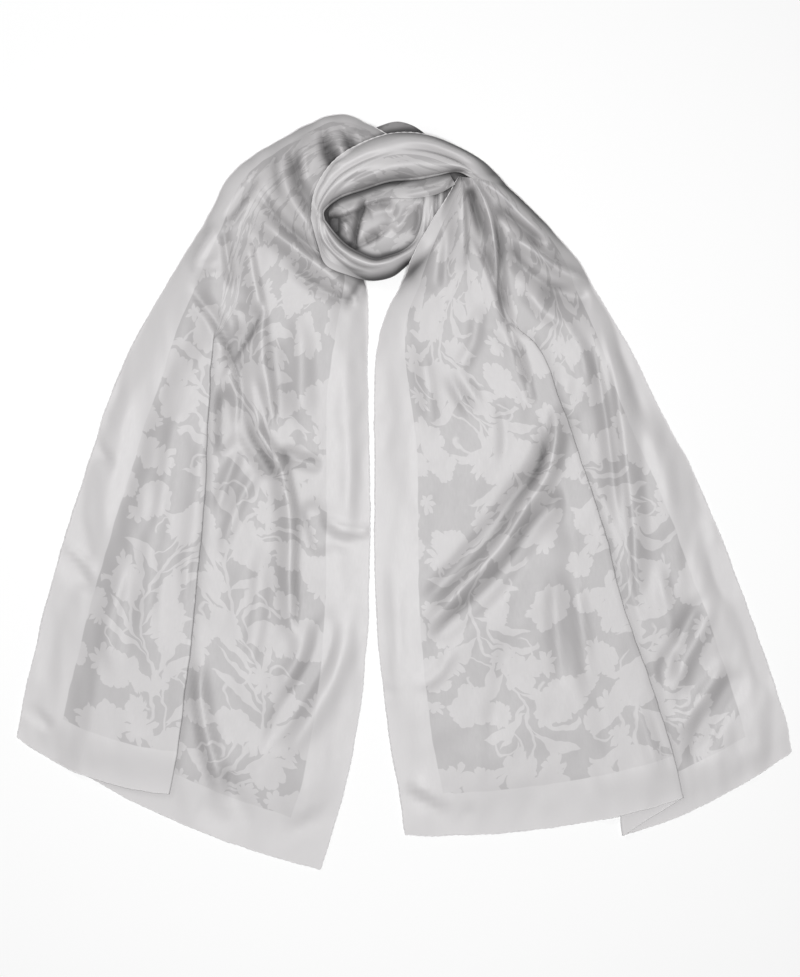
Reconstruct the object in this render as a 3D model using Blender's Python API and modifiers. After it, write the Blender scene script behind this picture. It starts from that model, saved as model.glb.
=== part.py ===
"""A silk shawl laid flat: one oblong of cloth wound into a loop, with its two tails fanned out.

X runs across the tails, Y from the hems up to the loop, and Z up from the surface it lies on.
The tables are in millimetres in that frame. Each stretch of the cloth is a loft: a smooth curve
runs through its table of sections, folds are added from a table, and Solidify gives it its wall.
"""

from collections import namedtuple

import bmesh
import bpy
import numpy as np
from mathutils import Vector
from mathutils.bvhtree import BVHTree

MM = 0.001

# Driving dimensions, in millimetres: the cloth's wall and its rolled hem
WALL = 1.0
HEM = 2.2
TAIL_LENGTH = 900.0
# A pleat: the height of each layer over the next, the radius of its turns, how far the front
# layer climbs onto it, and how far the cloth has to lie outside it before its own folds show
LAYER_STEP = 2.4
TURN = LAYER_STEP / 2
CLIMB = 14.0
BESIDE_FOLD = 14.0
# How far the middle of each layer's hem bows out
HEM_BOW_FRONT = 15.0
HEM_BOW_BACK = 12.0
# Clearances of cloth that lies on cloth, and of stretches that meet
LAID_ON = 0.9
PRESSED_ON = 0.4
UNDER_FOLDS = 1.25
FOLDED_EDGE = 3.0
SEAM = 0.4
# Height over the whole shawl, where a look down at it starts
ABOVE_ALL = 1000.0

# Mesh density: segments along a stretch and across each of its parts. The rows of a tail
# stand closer together on the shoulder, where its folds are narrow.
TAIL_ROWS = 38
CLOSER_ON_SHOULDER = 1.35
FRONT_OUTER, FRONT_INNER, MIDDLE, BACK = 6, 6, 2, 10
STRIP_ACROSS = 7
HEAP_ROWS, HEAP_ACROSS = 34, 16
FOLD_POINTS = 13
SEAM_ROWS = 5
# Circles round a point, and the directions on each, where the cloth under it is felt for
REACH = (3.0, 6.0, 9.0, 12.0)
DIRECTIONS = 16

# The silk's colour and roughness
SILK = (0.60, 0.60, 0.62, 1.0)
SILK_ROUGHNESS = 0.38

TailRow = namedtuple(
    "TailRow",
    "left_x left_y fold_x fold_y hidden_x hidden_y right_x right_y left_z right_z rise",
)
StripRow = namedtuple("StripRow", "outer_x outer_y inner_x inner_y outer_z inner_z crest")
Fold = namedtuple("Fold", "route height left_width right_width")

# Each tail, from the loop down to its hem. The front layer runs from the left edge to the fold,
# goes back under itself to the hidden fold, and from there runs out to the right edge.
LEFT_TAIL = [
    TailRow(-14, 421, -24, 408, -30, 400, -48, 378, 16, 20, 4),
    TailRow(-38, 437, -48, 420, -55, 405, -75, 365, 8, 20, 8),
    TailRow(-77, 452, -81, 425, -84, 407, -95, 345, 0, 17, 14),
    TailRow(-119, 438, -117, 410, -115, 392, -104, 318, 0, 15, 15),
    TailRow(-149, 421, -139, 393, -133, 376, -102, 298, 0, 14, 15),
    TailRow(-197, 391, -174, 366, -162, 352, -92, 276, 0, 12, 15),
    TailRow(-241, 320, -203, 306, -184, 300, -50, 256, 0, 4, 13),
    TailRow(-264, 282, -213, 272, -194, 268, -44, 240, 0, 0, 11),
    TailRow(-293, 234, -222, 221, -203, 218, -44, 190, 0, 0, 8),
    TailRow(-323, 181, -229, 166, -236, 167, -44, 135, 0, 0, 5),
    TailRow(-354, 109, -234, 90, -262, 94, -42, 61, 0, 0, 3),
    TailRow(-377, 37, -237, 12, -290, 21, -41, -23, 0, 0, 1),
    TailRow(-400, -35, -243, -64, -318, -50, -42, -101, 0, 0, 0),
    TailRow(-440, -179, -259, -213, -360, -193, -52, -251, 0, 0, 0),
    TailRow(-456, -251, -270, -303, -382, -270, -70, -352, 0, 0, 0),
    TailRow(-464, -295, -281, -362, -398, -332, -100, -454, 0, 0, 0),
]
RIGHT_TAIL = [
    TailRow(65, 375, 74, 372, 82, 370, 126, 365, 15, 0, 16),
    TailRow(54, 354, 82, 352, 94, 351, 143, 350, 16, 0, 17),
    TailRow(36, 326, 95, 322, 108, 322, 180, 310, 14, 0, 16),
    TailRow(17, 292, 104, 285, 118, 284, 207, 280, 6, 0, 16),
    TailRow(-3, 248, 110, 245, 124, 244, 227, 245, 0, 0, 14),
    TailRow(-24, 207, 121, 209, 131, 209, 249, 206, 0, 0, 11),
    TailRow(-33, 170, 161, 170, 146, 170, 272, 168, 0, 0, 8),
    TailRow(-35, 110, 185, 110, 160, 112, 301, 109, 0, 0, 6),
    TailRow(-35, 30, 215, 28, 184, 34, 345, 25, 0, 0, 4),
    TailRow(-35, -50, 241, -53, 203, -46, 378, -50, 0, 0, 2),
    TailRow(-34, -131, 262, -135, 217, -127, 408, -131, 0, 0, 1),
    TailRow(-29, -203, 288, -208, 233, -203, 434, -203, 0, 0, 0),
    TailRow(-20, -275, 313, -283, 247, -283, 455, -264, 0, 0, 0),
    TailRow(2, -412, 335, -367, 262, -412, 464, -312, 0, 0, 0),
]

# The stretch that passes over the top of the loop, from the right shoulder to the left lip
BAND = [
    StripRow(126, 365, 84, 372, 0, 25, 28),
    StripRow(97, 394, 64, 380, 0, 26, 32),
    StripRow(61, 414, 40, 376, 6, 28, 36),
    StripRow(31, 424, 19, 372, 16, 28, 39),
    StripRow(-14, 426, -14, 370, 20, 28, 41),
    StripRow(-65, 406, -48, 360, 20, 27, 40),
    StripRow(-90, 385, -77, 350, 18, 26, 38),
    StripRow(-107, 353, -96, 334, 16, 24, 34),
    StripRow(-111, 324, -96, 323, 13, 21, 30),
]
# The stretch that goes on round the bottom of the loop and up behind the right tail
RING = [
    StripRow(-111, 324, -96, 323, 13, 21, 30),
    StripRow(-103, 294, -84, 307, 8, 17, 29),
    StripRow(-93, 269, -70, 293, 2, 16, 28),
    StripRow(-65, 257, -53, 283, 0, 15, 27),
    StripRow(-41, 252, -35, 276, 0, 15, 27),
    StripRow(-14, 257, -19, 279, 0, 15, 27),
    StripRow(7, 273, -2, 285, 0, 15, 25),
    StripRow(29, 287, 12, 296, 13, 15, 22),
    StripRow(48, 316, 22, 318, 14, 14, 18),
    StripRow(54, 343, 25, 343, 13, 14, 16),
]
# The cloth inside the loop, from its left end to its right end
SWIRL = [
    StripRow(-90, 308, -90, 334, 10, 12, 12),
    StripRow(-84, 300, -84, 344, 10, 15, 13),
    StripRow(-66, 285, -66, 356, 9, 17, 14),
    StripRow(-40, 272, -40, 364, 9, 18, 15),
    StripRow(-14, 274, -14, 366, 9, 18, 15),
    StripRow(10, 290, 10, 364, 9, 17, 14),
    StripRow(30, 320, 30, 356, 8, 14, 12),
]
# The short fold that shows between the band and the loop, from left to right
TUCK = [
    StripRow(-17, 349, -12, 362, 15, 17, 17),
    StripRow(14, 349, 14, 376, 18, 21, 23),
    StripRow(40, 354, 38, 381, 19, 21, 24),
    StripRow(61, 364, 53, 381, 19, 19, 21),
]
# The pass behind the band, of which only the upper edge shows
LOOP_BEHIND = [
    StripRow(-50, 428, -52, 392, 0, 9, 9),
    StripRow(-31, 437, -33, 390, 0, 11, 11),
    StripRow(-6, 443, -8, 388, 0, 12, 13),
    StripRow(11, 438, 8, 388, 0, 12, 13),
    StripRow(31, 424, 26, 390, 0, 11, 11),
    StripRow(50, 410, 42, 392, 0, 9, 9),
]
# Lower and upper edge of the heap of hidden layers, from left to right
HeapRow = namedtuple("HeapRow", "low_x low_y high_x high_y")
HEAP = [
    HeapRow(-222, 268, -200, 345),
    HeapRow(-184, 205, -165, 385),
    HeapRow(-130, 188, -115, 412),
    HeapRow(-85, 205, -80, 422),
    HeapRow(-58, 264, -56, 416),
    HeapRow(-14, 276, -10, 424),
    HeapRow(24, 284, 30, 405),
    HeapRow(60, 225, 66, 395),
    HeapRow(100, 188, 110, 362),
    HeapRow(150, 188, 156, 318),
    HeapRow(200, 215, 200, 268),
]

LEFT_FOLDS = [
    Fold(((-145, 409), (-138, 354), (-127, 301)), 5, 8, 12),
    Fold(((-130, 403), (-126, 373), (-115, 343)), -6, 8, 8),
    Fold(((-110, 430), (-106, 379)), 5, 9, 7),
    Fold(((-95, 414), (-89, 406), (-84, 396)), -8, 12, 12),
    Fold(((-74, 424), (-61, 413)), 4, 6, 6),
    Fold(((-175, 361), (-170, 319)), -5, 14, 14),
    Fold(((-172, 318), (-125, 282), (-77, 244)), 11, 15, 7),
    Fold(((-181, 390), (-215, 325), (-239, 241)), 5, 14, 14),
    Fold(((-186, 311), (-178, 240), (-170, 167), (-154, 56), (-144, -11)), 7, 8, 14),
    Fold(((-258, 242), (-214, 184), (-194, 115), (-185, 53), (-144, 13)), 6, 14, 8),
    Fold(((-305, 193), (-341, 73), (-371, -83)), 5, 14, 22),
    Fold(((-263, 193), (-287, 49), (-305, -131), (-317, -275)), 6, 12, 18),
    Fold(((-239, 109), (-250, -35), (-263, -179)), 5, 7, 12),
    Fold(((-370, 58), (-354, 30)), 3, 7, 7),
    Fold(((-413, -59), (-377, -114)), 3, 8, 8),
    Fold(((-138, 11), (-136, -109), (-124, -199)), 7, 16, 9),
    Fold(((-103, -131), (-137, -227), (-179, -305)), 7, 16, 22),
    Fold(((-239, -191), (-227, -299), (-203, -383)), 5, 12, 8),
    Fold(((-71, 193), (-65, 49), (-71, -83)), 4, 12, 14),
    Fold(((-109, -43), (-77, -59), (-41, -62)), 3, 8, 8),
    Fold(((-110, -396), (-166, -420)), 4, 8, 8),
]
RIGHT_FOLDS = [
    Fold(((76, 360), (90, 338), (102, 306), (108, 259)), 6, 6, 12),
    Fold(((71, 361), (71, 301), (68, 230)), -5, 9, 9),
    Fold(((44, 331), (25, 277), (1, 205)), 4, 12, 14),
    Fold(((174, 109), (158, 13), (119, -58), (59, -121), (23, -173)), 9, 18, 10),
    Fold(((157, 145), (198, 25), (236, -83), (275, -227)), 5, 7, 12),
    Fold(((121, 199), (138, 162), (152, 119)), 6, 7, 10),
    Fold(((233, 220), (256, 116), (269, 1), (278, -106), (300, -205)), 8, 18, 14),
    Fold(((358, -121), (330, -180), (301, -236)), 5, 10, 10),
    Fold(((391, -179), (355, -251), (330, -310)), 6, 12, 14),
    Fold(((-5, -368), (38, -380)), 4, 8, 8),
    Fold(((68, -400), (79, -347)), 4, 8, 8),
    Fold(((64, 384), (114, 353), (152, 314), (185, 292)), 7, 10, 8),
    Fold(((107, 341), (150, 302), (170, 285)), -5, 9, 9),
    Fold(((126, 301), (167, 277), (199, 251)), 6, 9, 9),
    Fold(((152, 251), (188, 238), (223, 225)), -5, 14, 14),
]
BAND_FOLDS = [
    Fold(((-103, 351), (-73, 383), (-18, 405), (30, 407)), -5, 7, 7),
    Fold(((-70, 370), (-20, 390), (40, 396)), 2, 8, 8),
]
RING_FOLDS = [
    Fold(((-99, 310), (-78, 276), (-40, 262), (0, 272)), -3, 6, 6),
]
SWIRL_FOLDS = [
    Fold(((-60, 345), (-56, 320), (-60, 293)), -4, 6, 6),
    Fold(((-60, 292), (-38, 301), (-14, 320)), 5, 7, 7),
    Fold(((-30, 335), (0, 318), (2, 295)), 4, 12, 12),
    Fold(((-83, 322), (-80, 312)), -5, 6, 6),
]


def smoothstep(value):
    """From 0 to 1 with no corner at either end."""
    share = np.clip(value, 0.0, 1.0)
    return share * share * (3.0 - 2.0 * share)


def through(table, places, plan_columns):
    """Rows read at places, from 0 to 1, on the smooth curve that runs through the table's rows."""
    rows = np.array(table, float)
    steps = np.linalg.norm(np.diff(rows[:, :plan_columns], axis=0), axis=1)
    knots = np.concatenate([[0.0], np.cumsum(steps)]) / steps.sum()
    slopes = np.gradient(rows, knots, axis=0)
    at = np.clip(np.searchsorted(knots, places, side="right") - 1, 0, len(knots) - 2)
    span = (knots[at + 1] - knots[at])[:, None]
    t = (np.asarray(places)[:, None] - knots[at][:, None]) / span
    return (
        (2 * t**3 - 3 * t**2 + 1) * rows[at]
        + (t**3 - 2 * t**2 + t) * span * slopes[at]
        + (3 * t**2 - 2 * t**3) * rows[at + 1]
        + (t**3 - t**2) * span * slopes[at + 1]
    )


def fold_height(plan, folds):
    """Height that the folds add at each plan point: a ridge with its own width on each side."""
    total = np.zeros(plan.shape[:-1])
    for fold in folds:
        route = through(fold.route, np.linspace(0, 1, FOLD_POINTS), 2)
        starts, runs = route[:-1], np.diff(route, axis=0)
        lengths = np.linalg.norm(runs, axis=1)
        offset = plan[..., None, :] - starts
        share = np.clip((offset * runs).sum(-1) / lengths**2, 0, 1)
        away = offset - share[..., None] * runs
        distance = np.linalg.norm(away, axis=-1)
        nearest = distance.argmin(-1)[..., None]
        side = runs[:, 0] * offset[..., 1] - runs[:, 1] * offset[..., 0]
        is_left = np.take_along_axis(side, nearest, -1)[..., 0] > 0
        width = np.where(is_left, fold.left_width, fold.right_width)
        gap = np.take_along_axis(distance, nearest, -1)[..., 0]
        along = (nearest[..., 0] + np.take_along_axis(share, nearest, -1)[..., 0]) / len(runs)
        taper = 0.2 + 0.8 * smoothstep(3 * along) * smoothstep(3 * (1 - along))
        total += fold.height * taper * np.exp(-((gap / width) ** 2))
    return total


def tail_section(row, place):
    """Plan points, layer heights and fold shares of one section of a tail, left edge to right."""
    row = TailRow(*row)
    left = np.array([row.left_x, row.left_y])
    fold = np.array([row.fold_x, row.fold_y])
    hidden = np.array([row.hidden_x, row.hidden_y])
    right = np.array([row.right_x, row.right_y])
    width = np.linalg.norm(right - left)
    across = (right - left) / width
    down = np.array([across[1], -across[0]])
    fold_at = (fold - left) @ across
    hidden_at = (hidden - left) @ across
    turn = TURN * np.clip((fold_at - hidden_at) / (4 * TURN), -1, 1)

    front_end = fold_at - TURN
    top_of_climb = max(min(hidden_at, fold_at - 4 * TURN) - TURN, 0.45 * front_end)
    foot_of_climb = max(top_of_climb - CLIMB, 0.25 * front_end)
    bead = min(HEM, 0.1 * front_end)
    front = np.concatenate([
        [0.0],
        np.linspace(bead, foot_of_climb, FRONT_OUTER + 1),
        [(foot_of_climb + top_of_climb) / 2],
        np.linspace(top_of_climb, front_end, FRONT_INNER + 1),
    ])
    front_share = (front / front_end)[:, None]
    front_line = left + (fold - TURN * across - left) * front_share
    front_line += down * HEM_BOW_FRONT * place**8 * 4 * front_share * (1 - front_share)
    front_height = 2 * smoothstep((front - top_of_climb + CLIMB) / CLIMB)

    middle_share = np.linspace(0, 1, MIDDLE + 1)[:, None]
    middle_start = fold - turn * across
    middle_end = hidden + turn * across
    middle_line = middle_start + (middle_end - middle_start) * middle_share
    middle_height = np.linspace(1.1, 0.9, MIDDLE + 1)

    back_start = hidden + TURN * across
    back_length = np.linalg.norm(right - back_start)
    back = np.append(np.linspace(0, 1 - HEM / back_length, BACK + 1), 1.0)[:, None]
    back_line = back_start + (right - back_start) * back
    back_line += down * HEM_BOW_BACK * place**8 * 4 * back * (1 - back)

    plan = np.vstack([front_line, fold, middle_line, hidden, back_line])
    layer = np.concatenate([
        front_height, [1.5], middle_height, [0.5], np.zeros(len(back_line))
    ]) * LAYER_STEP
    at = (plan - left) @ across
    clear_of_fold = smoothstep((at - fold_at - HEM) / BESIDE_FOLD)
    takes_folds = np.concatenate([
        np.ones(len(front_line)),
        [0.7],
        np.linspace(0.4, 0.0, MIDDLE + 1),
        [0.0],
        clear_of_fold[-len(back_line):],
    ])
    stacked = (fold_at > hidden_at) & (at > foot_of_climb) & (layer > LAYER_STEP)
    share = at / width
    lift = row.left_z * (1 - share) + row.right_z * share
    lift += row.rise * (1 - np.abs(2 * np.clip(share, 0, 1) - 1) ** 4)
    return plan, layer, lift, takes_folds, stacked


def tail_points(table, folds, places):
    """Grid of wall middle points of a tail, rows from the loop to the hem, and its wall at each."""
    parts = [tail_section(row, place) for row, place in zip(through(table, places, 8), places)]
    plan, layer, lift, takes_folds, stacked = (np.array(values) for values in zip(*parts))
    height = fold_height(plan, folds) * takes_folds
    height = np.where(stacked, np.maximum(height, 0), height)
    wall = np.full(layer.shape, WALL)
    wall[:, 0] = wall[:, -1] = wall[-1, :] = HEM
    loose = np.maximum(lift + height, 0)
    return plan, layer, loose, wall


def strip_points(table, folds, rows, across=STRIP_ACROSS):
    """Grid of wall middle points of a rounded stretch, outer edge to inner edge."""
    read = through(table, np.linspace(0, 1, rows + 1), 4)
    share = (1 - np.cos(np.linspace(0, np.pi, across + 1))) / 2
    outer, inner = read[:, None, 0:2], read[:, None, 2:4]
    plan = outer + (inner - outer) * share[None, :, None]
    ends = read[:, 4:5] * (1 - share) + read[:, 5:6] * share
    dome = 1 - np.abs(2 * share - 1) ** 3
    crown = read[:, 6:7] - (read[:, 4:5] + read[:, 5:6]) / 2
    loose = ends + crown * dome
    loose += fold_height(plan, folds) * dome
    return plan, np.maximum(loose, 0)


def folded_under(plan, height):
    """A stretch whose inner edge is turned under by one more column of points."""
    inward = plan[:, -2] - plan[:, -1]
    inward = inward / np.linalg.norm(inward, axis=1, keepdims=True)
    under = plan[:, -1] + inward * FOLDED_EDGE
    plan = np.concatenate([plan, under[:, None]], axis=1)
    return plan, np.concatenate([height, height[:, -1:] - FOLDED_EDGE], axis=1)


def surface_of(obj):
    """The finished surface of an object, for finding what lies on it or under it."""
    bpy.context.view_layer.update()
    return BVHTree.FromObject(obj, bpy.context.evaluated_depsgraph_get())


def circle_of(point):
    """The point, and points all round it at each reach."""
    yield point
    for reach in REACH:
        for angle in np.linspace(0, 2 * np.pi, DIRECTIONS, endpoint=False):
            yield point + reach * np.array([np.cos(angle), np.sin(angle)])


def heights_round(point, surfaces, start, direction):
    """Heights at which looks up or down at a plan point, and round it, first meet each surface."""
    heights = []
    for place in circle_of(point):
        for surface in surfaces:
            hit = surface.ray_cast(Vector((*place, start)) * MM, Vector((0, 0, direction)))[0]
            if hit is not None:
                heights.append(hit.z / MM)
    return heights


def laid_on(plan, loose, surfaces, clearance=LAID_ON, share_of_row=None, spare_at_edge=0.0):
    """Loose heights raised where the cloth lies on the surfaces below it."""
    rows, columns = loose.shape
    share = np.ones(rows) if share_of_row is None else share_of_row
    spare = np.full(columns, clearance)
    spare[-2:] += spare_at_edge
    raised = loose.copy()
    for row, column in np.ndindex(loose.shape):
        top = max(heights_round(plan[row, column], surfaces, ABOVE_ALL, -1), default=0)
        if top > 0:
            lift = max(top + spare[column] - loose[row, column], 0)
            raised[row, column] += lift * share[row]
    return raised


def joined_to(plan, loose, seam_plan, seam_height):
    """The first rows of a stretch brought to the heights of the row that it carries on from."""
    own = np.linalg.norm(plan[0] - plan[0, 0], axis=1)
    other = np.linalg.norm(seam_plan - seam_plan[0], axis=1)
    wanted = np.interp(own / own[-1], other / other[-1], seam_height)
    fade = smoothstep(1 - np.arange(len(plan)) / SEAM_ROWS)[:, None]
    return loose + (wanted - loose[0]) * fade


def parted(plan, row, towards, gap):
    """A stretch whose end row stands back by a gap from the stretch that it meets."""
    away = plan[towards] - plan[row]
    away = away / np.linalg.norm(away, axis=1, keepdims=True)
    shorter = plan.copy()
    shorter[row] += away * gap
    return shorter


def grid_object(name, plan, height, collection, material, wall=WALL):
    """A grid primitive with its points set, given its wall by Solidify."""
    rows, columns = height.shape
    shell = bmesh.new()
    bmesh.ops.create_grid(shell, x_segments=columns - 1, y_segments=rows - 1, size=1.0)
    thickness = np.broadcast_to(np.asarray(wall, float), height.shape)
    weights = shell.verts.layers.deform.verify()
    for vertex in shell.verts:
        column = round((vertex.co.x + 1) / 2 * (columns - 1))
        row = rows - 1 - round((vertex.co.y + 1) / 2 * (rows - 1))
        middle = height[row, column] + thickness[row, column] / 2
        vertex.co = Vector((*plan[row, column], middle)) * MM
        vertex[weights][0] = thickness[row, column] / HEM
    mesh = bpy.data.meshes.new(name)
    shell.to_mesh(mesh)
    shell.free()
    mesh.shade_smooth()
    obj = bpy.data.objects.new(name, mesh)
    collection.objects.link(obj)
    obj.vertex_groups.new(name="wall")
    solidify = obj.modifiers.new("Wall", "SOLIDIFY")
    solidify.thickness = HEM * MM
    solidify.offset = 0.0
    solidify.use_even_offset = False
    solidify.vertex_group = "wall"
    solidify.thickness_vertex_group = 0.0
    mesh.materials.append(material)
    return obj


def heap_object(name, surfaces, collection, material):
    """The rounded heap of hidden layers, as high as the cloth that lies on it allows."""
    read = through(HEAP, np.linspace(0, 1, HEAP_ROWS + 1), 4)
    share = np.linspace(0, 1, HEAP_ACROSS + 1)[None, :, None]
    plan = read[:, None, 0:2] * (1 - share) + read[:, None, 2:4] * share
    top = np.zeros(plan.shape[:2])
    for index in np.ndindex(top.shape):
        lowest = min(heights_round(plan[index], surfaces, -WALL, 1), default=WALL + UNDER_FOLDS)
        top[index] = max(lowest - UNDER_FOLDS, WALL)
    solid = bmesh.new()
    bmesh.ops.create_grid(solid, x_segments=HEAP_ACROSS, y_segments=HEAP_ROWS, size=1.0)
    for vertex in solid.verts:
        column = round((vertex.co.x + 1) / 2 * HEAP_ACROSS)
        row = round((vertex.co.y + 1) / 2 * HEAP_ROWS)
        vertex.co = Vector((*plan[row, column], top[row, column])) * MM
    grown = bmesh.ops.extrude_face_region(solid, geom=solid.faces[:], use_keep_orig=True)["geom"]
    for vertex in (item for item in grown if isinstance(item, bmesh.types.BMVert)):
        vertex.co.z = 0.0
    bmesh.ops.recalc_face_normals(solid, faces=solid.faces[:])
    mesh = bpy.data.meshes.new(name)
    solid.to_mesh(mesh)
    solid.free()
    mesh.materials.append(material)
    obj = bpy.data.objects.new(name, mesh)
    collection.objects.link(obj)
    return obj


def silk(name, shade=1.0):
    """A silk finish of its own for one stretch."""
    material = bpy.data.materials.new(name)
    material.use_nodes = True
    finish = material.node_tree.nodes["Principled BSDF"]
    finish.inputs["Base Color"].default_value = (*(value * shade for value in SILK[:3]), 1.0)
    finish.inputs["Roughness"].default_value = SILK_ROUGHNESS
    finish.inputs["Metallic"].default_value = 0.0
    return material


def main():
    for obj in list(bpy.data.objects):
        bpy.data.objects.remove(obj)
    shawl = bpy.data.collections.new("silk_shawl")
    bpy.context.scene.collection.children.link(shawl)

    def made(name, plan, height, wall=WALL, shade=1.0):
        obj = grid_object(name, plan, height, shawl, silk(name + "_silk", shade), wall)
        return surface_of(obj)

    places = np.linspace(0, 1, TAIL_ROWS) ** CLOSER_ON_SHOULDER
    places = np.sort(np.append(places, 1 - HEM / TAIL_LENGTH))

    plan, loose = strip_points(LOOP_BEHIND, [], 6, across=4)
    behind = made("loop_behind", plan, loose, shade=0.85)

    plan, layer, loose, wall = tail_points(LEFT_TAIL, LEFT_FOLDS, places)
    left_tail = made("left_tail", plan, laid_on(plan, loose, [behind]) + layer, wall)

    plan, loose = strip_points(SWIRL, SWIRL_FOLDS, 10, across=8)
    swirl = made("inner_swirl", plan, laid_on(plan, loose, [left_tail]), shade=0.9)

    plan, loose = strip_points(RING, RING_FOLDS, 22)
    loose = laid_on(plan, loose, [left_tail, swirl])
    lip_plan, lip_height = plan[0], loose[0]
    ring = made("ring", parted(plan, 0, 1, SEAM / 2), loose)

    plan, layer, loose, wall = tail_points(RIGHT_TAIL, RIGHT_FOLDS, places)
    height = laid_on(plan, loose, [behind, ring, swirl]) + layer
    throat_plan, throat_height = plan[0, :-BACK - 3:-1], height[0, :-BACK - 3:-1]
    right_tail = made("right_tail", plan, height, wall)

    plan, loose = strip_points(TUCK, [], 7, across=4)
    tuck = made("tuck", plan, laid_on(plan, loose, [swirl, ring, right_tail], PRESSED_ON))

    plan, loose = strip_points(BAND, BAND_FOLDS, 22)
    below = [behind, left_tail, swirl, right_tail, tuck]
    loose = joined_to(plan, loose, throat_plan, throat_height)
    share = smoothstep(np.arange(len(plan)) / SEAM_ROWS)
    loose = laid_on(plan, loose, below, LAID_ON, share, FOLDED_EDGE)
    loose = joined_to(plan[::-1], loose[::-1], lip_plan, lip_height)[::-1]
    plan = parted(parted(plan, 0, 1, 2 * SEAM), -1, -2, SEAM / 2)
    band = made("band", *folded_under(plan, loose))

    above = [behind, left_tail, swirl, ring, right_tail, tuck, band]
    heap_object("hidden_layers", above, shawl, silk("hidden_layers_silk", 0.7))


main()
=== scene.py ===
"""The looks of a silk shawl that lies flat, wound into one loop, seen from straight above.

Each stretch of cloth is a fine grid on the form of its solid, worked out from the same sections
and folds. Places in the tables are in millimetres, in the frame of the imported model.
"""

from collections import namedtuple
from functools import cache

import bpy
import numpy as np
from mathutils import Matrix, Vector, noise


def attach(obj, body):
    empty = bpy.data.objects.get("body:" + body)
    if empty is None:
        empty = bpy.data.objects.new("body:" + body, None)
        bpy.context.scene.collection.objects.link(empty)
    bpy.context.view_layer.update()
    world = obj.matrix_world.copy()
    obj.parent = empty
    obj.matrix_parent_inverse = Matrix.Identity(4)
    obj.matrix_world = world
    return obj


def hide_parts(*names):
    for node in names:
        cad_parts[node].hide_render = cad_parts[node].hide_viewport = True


bl_info = {
    "name": "Silk shawl",
    "version": (1, 0, 0),
    "blender": (4, 5, 0),
    "location": "3D Viewport > Sidebar > Shawl",
    "description": "Models a silk shawl laid flat and wound into a loop",
    "category": "Add Mesh",
}

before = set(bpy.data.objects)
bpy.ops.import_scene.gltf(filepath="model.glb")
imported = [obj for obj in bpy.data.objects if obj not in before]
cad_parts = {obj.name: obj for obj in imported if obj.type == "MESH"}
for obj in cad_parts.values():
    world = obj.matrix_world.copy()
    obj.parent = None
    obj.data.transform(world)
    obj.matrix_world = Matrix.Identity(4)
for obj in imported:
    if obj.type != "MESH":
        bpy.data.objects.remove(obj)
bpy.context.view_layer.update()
MM = 0.001

# The cut cloth, in millimetres
CLOTH_WIDTH = 650.0
CLOTH_LENGTH = 2000.0

# The solids' wall and the room between layers, in millimetres
WALL = 1.0
LAYER_STEP = 2.4
TURN = LAYER_STEP / 2
LAID_ON = 1.2
PRESSED_ON = 0.6
UNDER_FOLDS = 1.8
LOWEST = 0.2
SOFT = 0.6

# The pleats: where the front layer climbs, where its hollows end and where the back's folds begin
CLIMB = 36.0
OVER_HIDDEN = 14.0
OPENING = 12.0
OPEN_SLOPE = 12.0
PAST_FOLD = 2.2
BESIDE_FOLD = 14.0

# Heights of a pleat's layers, in steps: on the front one, at its fold, between and at the fold under
FRONT_LAYER = 2.0
OVER_LAYER = 1.55
MIDDLE_LAYER = (1.1, 0.9)
UNDER_LAYER = 0.45
HALF_TURN_LAYER = 0.45

# The bow of the hems, and the air under the tails away from their edges, in millimetres
HEM_BOW_FRONT = 15.0
HEM_BOW_BACK = 12.0
AIR = 3.0
AIR_REACH = 45.0

# How much more cloth lies in a millimetre near the loop, where it is gathered, and in a strip
GATHERED = 0.8
EVENED = 0.8
STRIP_GATHERED = 1.8

# Columns and rows of the grids
TAIL_ROWS = 190
CLOSER_ON_SHOULDER = 1.35
FRONT_COLUMNS, TURN_COLUMNS, MIDDLE_COLUMNS, BACK_COLUMNS = 50, 5, 22, 78
STRIP_ROWS = 110
SEAM_ROWS = 14
FOLD_POINTS = 25
HEAP_ROWS, HEAP_COLUMNS = 90, 60

# Where the heap's middle lies on the flat cloth, in millimetres
HEAP_ON_CLOTH = np.array([300.0, 700.0])

# The hems' stitches, and how far each draws the hem in, as a share of its radius
POINTS_A_STITCH = 4
DRAWN_IN = 0.25

# The inner edge of the band that goes back under itself, and the angle from which an edge is sharp
UNDER_COLUMNS = 8
UNDER_RADIUS = 2.0
RIM_ANGLE = np.radians(70)

# The square raster on which the height of laid cloth is kept, in millimetres
CELL = 2.0
RASTER_LOW = np.array([-490.0, -480.0])
RASTER_CELLS = (490, 480)
REACH = 8.0
UNDER_REACH = 4.0
BLUR = 4.0
NOTHING_ABOVE = 100.0

# How far round a place its pockets count, and the depths at which painted shade makes them dark, in
# millimetres
FURTHER = 16.0
DEEP = 18.0
DEEPER_FROM = 4.0
DEEPER = 34.0
FURTHER_SHARE = 0.6

TailRow = namedtuple(
    "TailRow",
    "left_x left_y fold_x fold_y hidden_x hidden_y right_x right_y left_z right_z rise",
)
Fold = namedtuple("Fold", "route height left_width right_width start end", defaults=(0.3, 0.3))
Stretch = namedtuple("Stretch", "plan height cloth")

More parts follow.
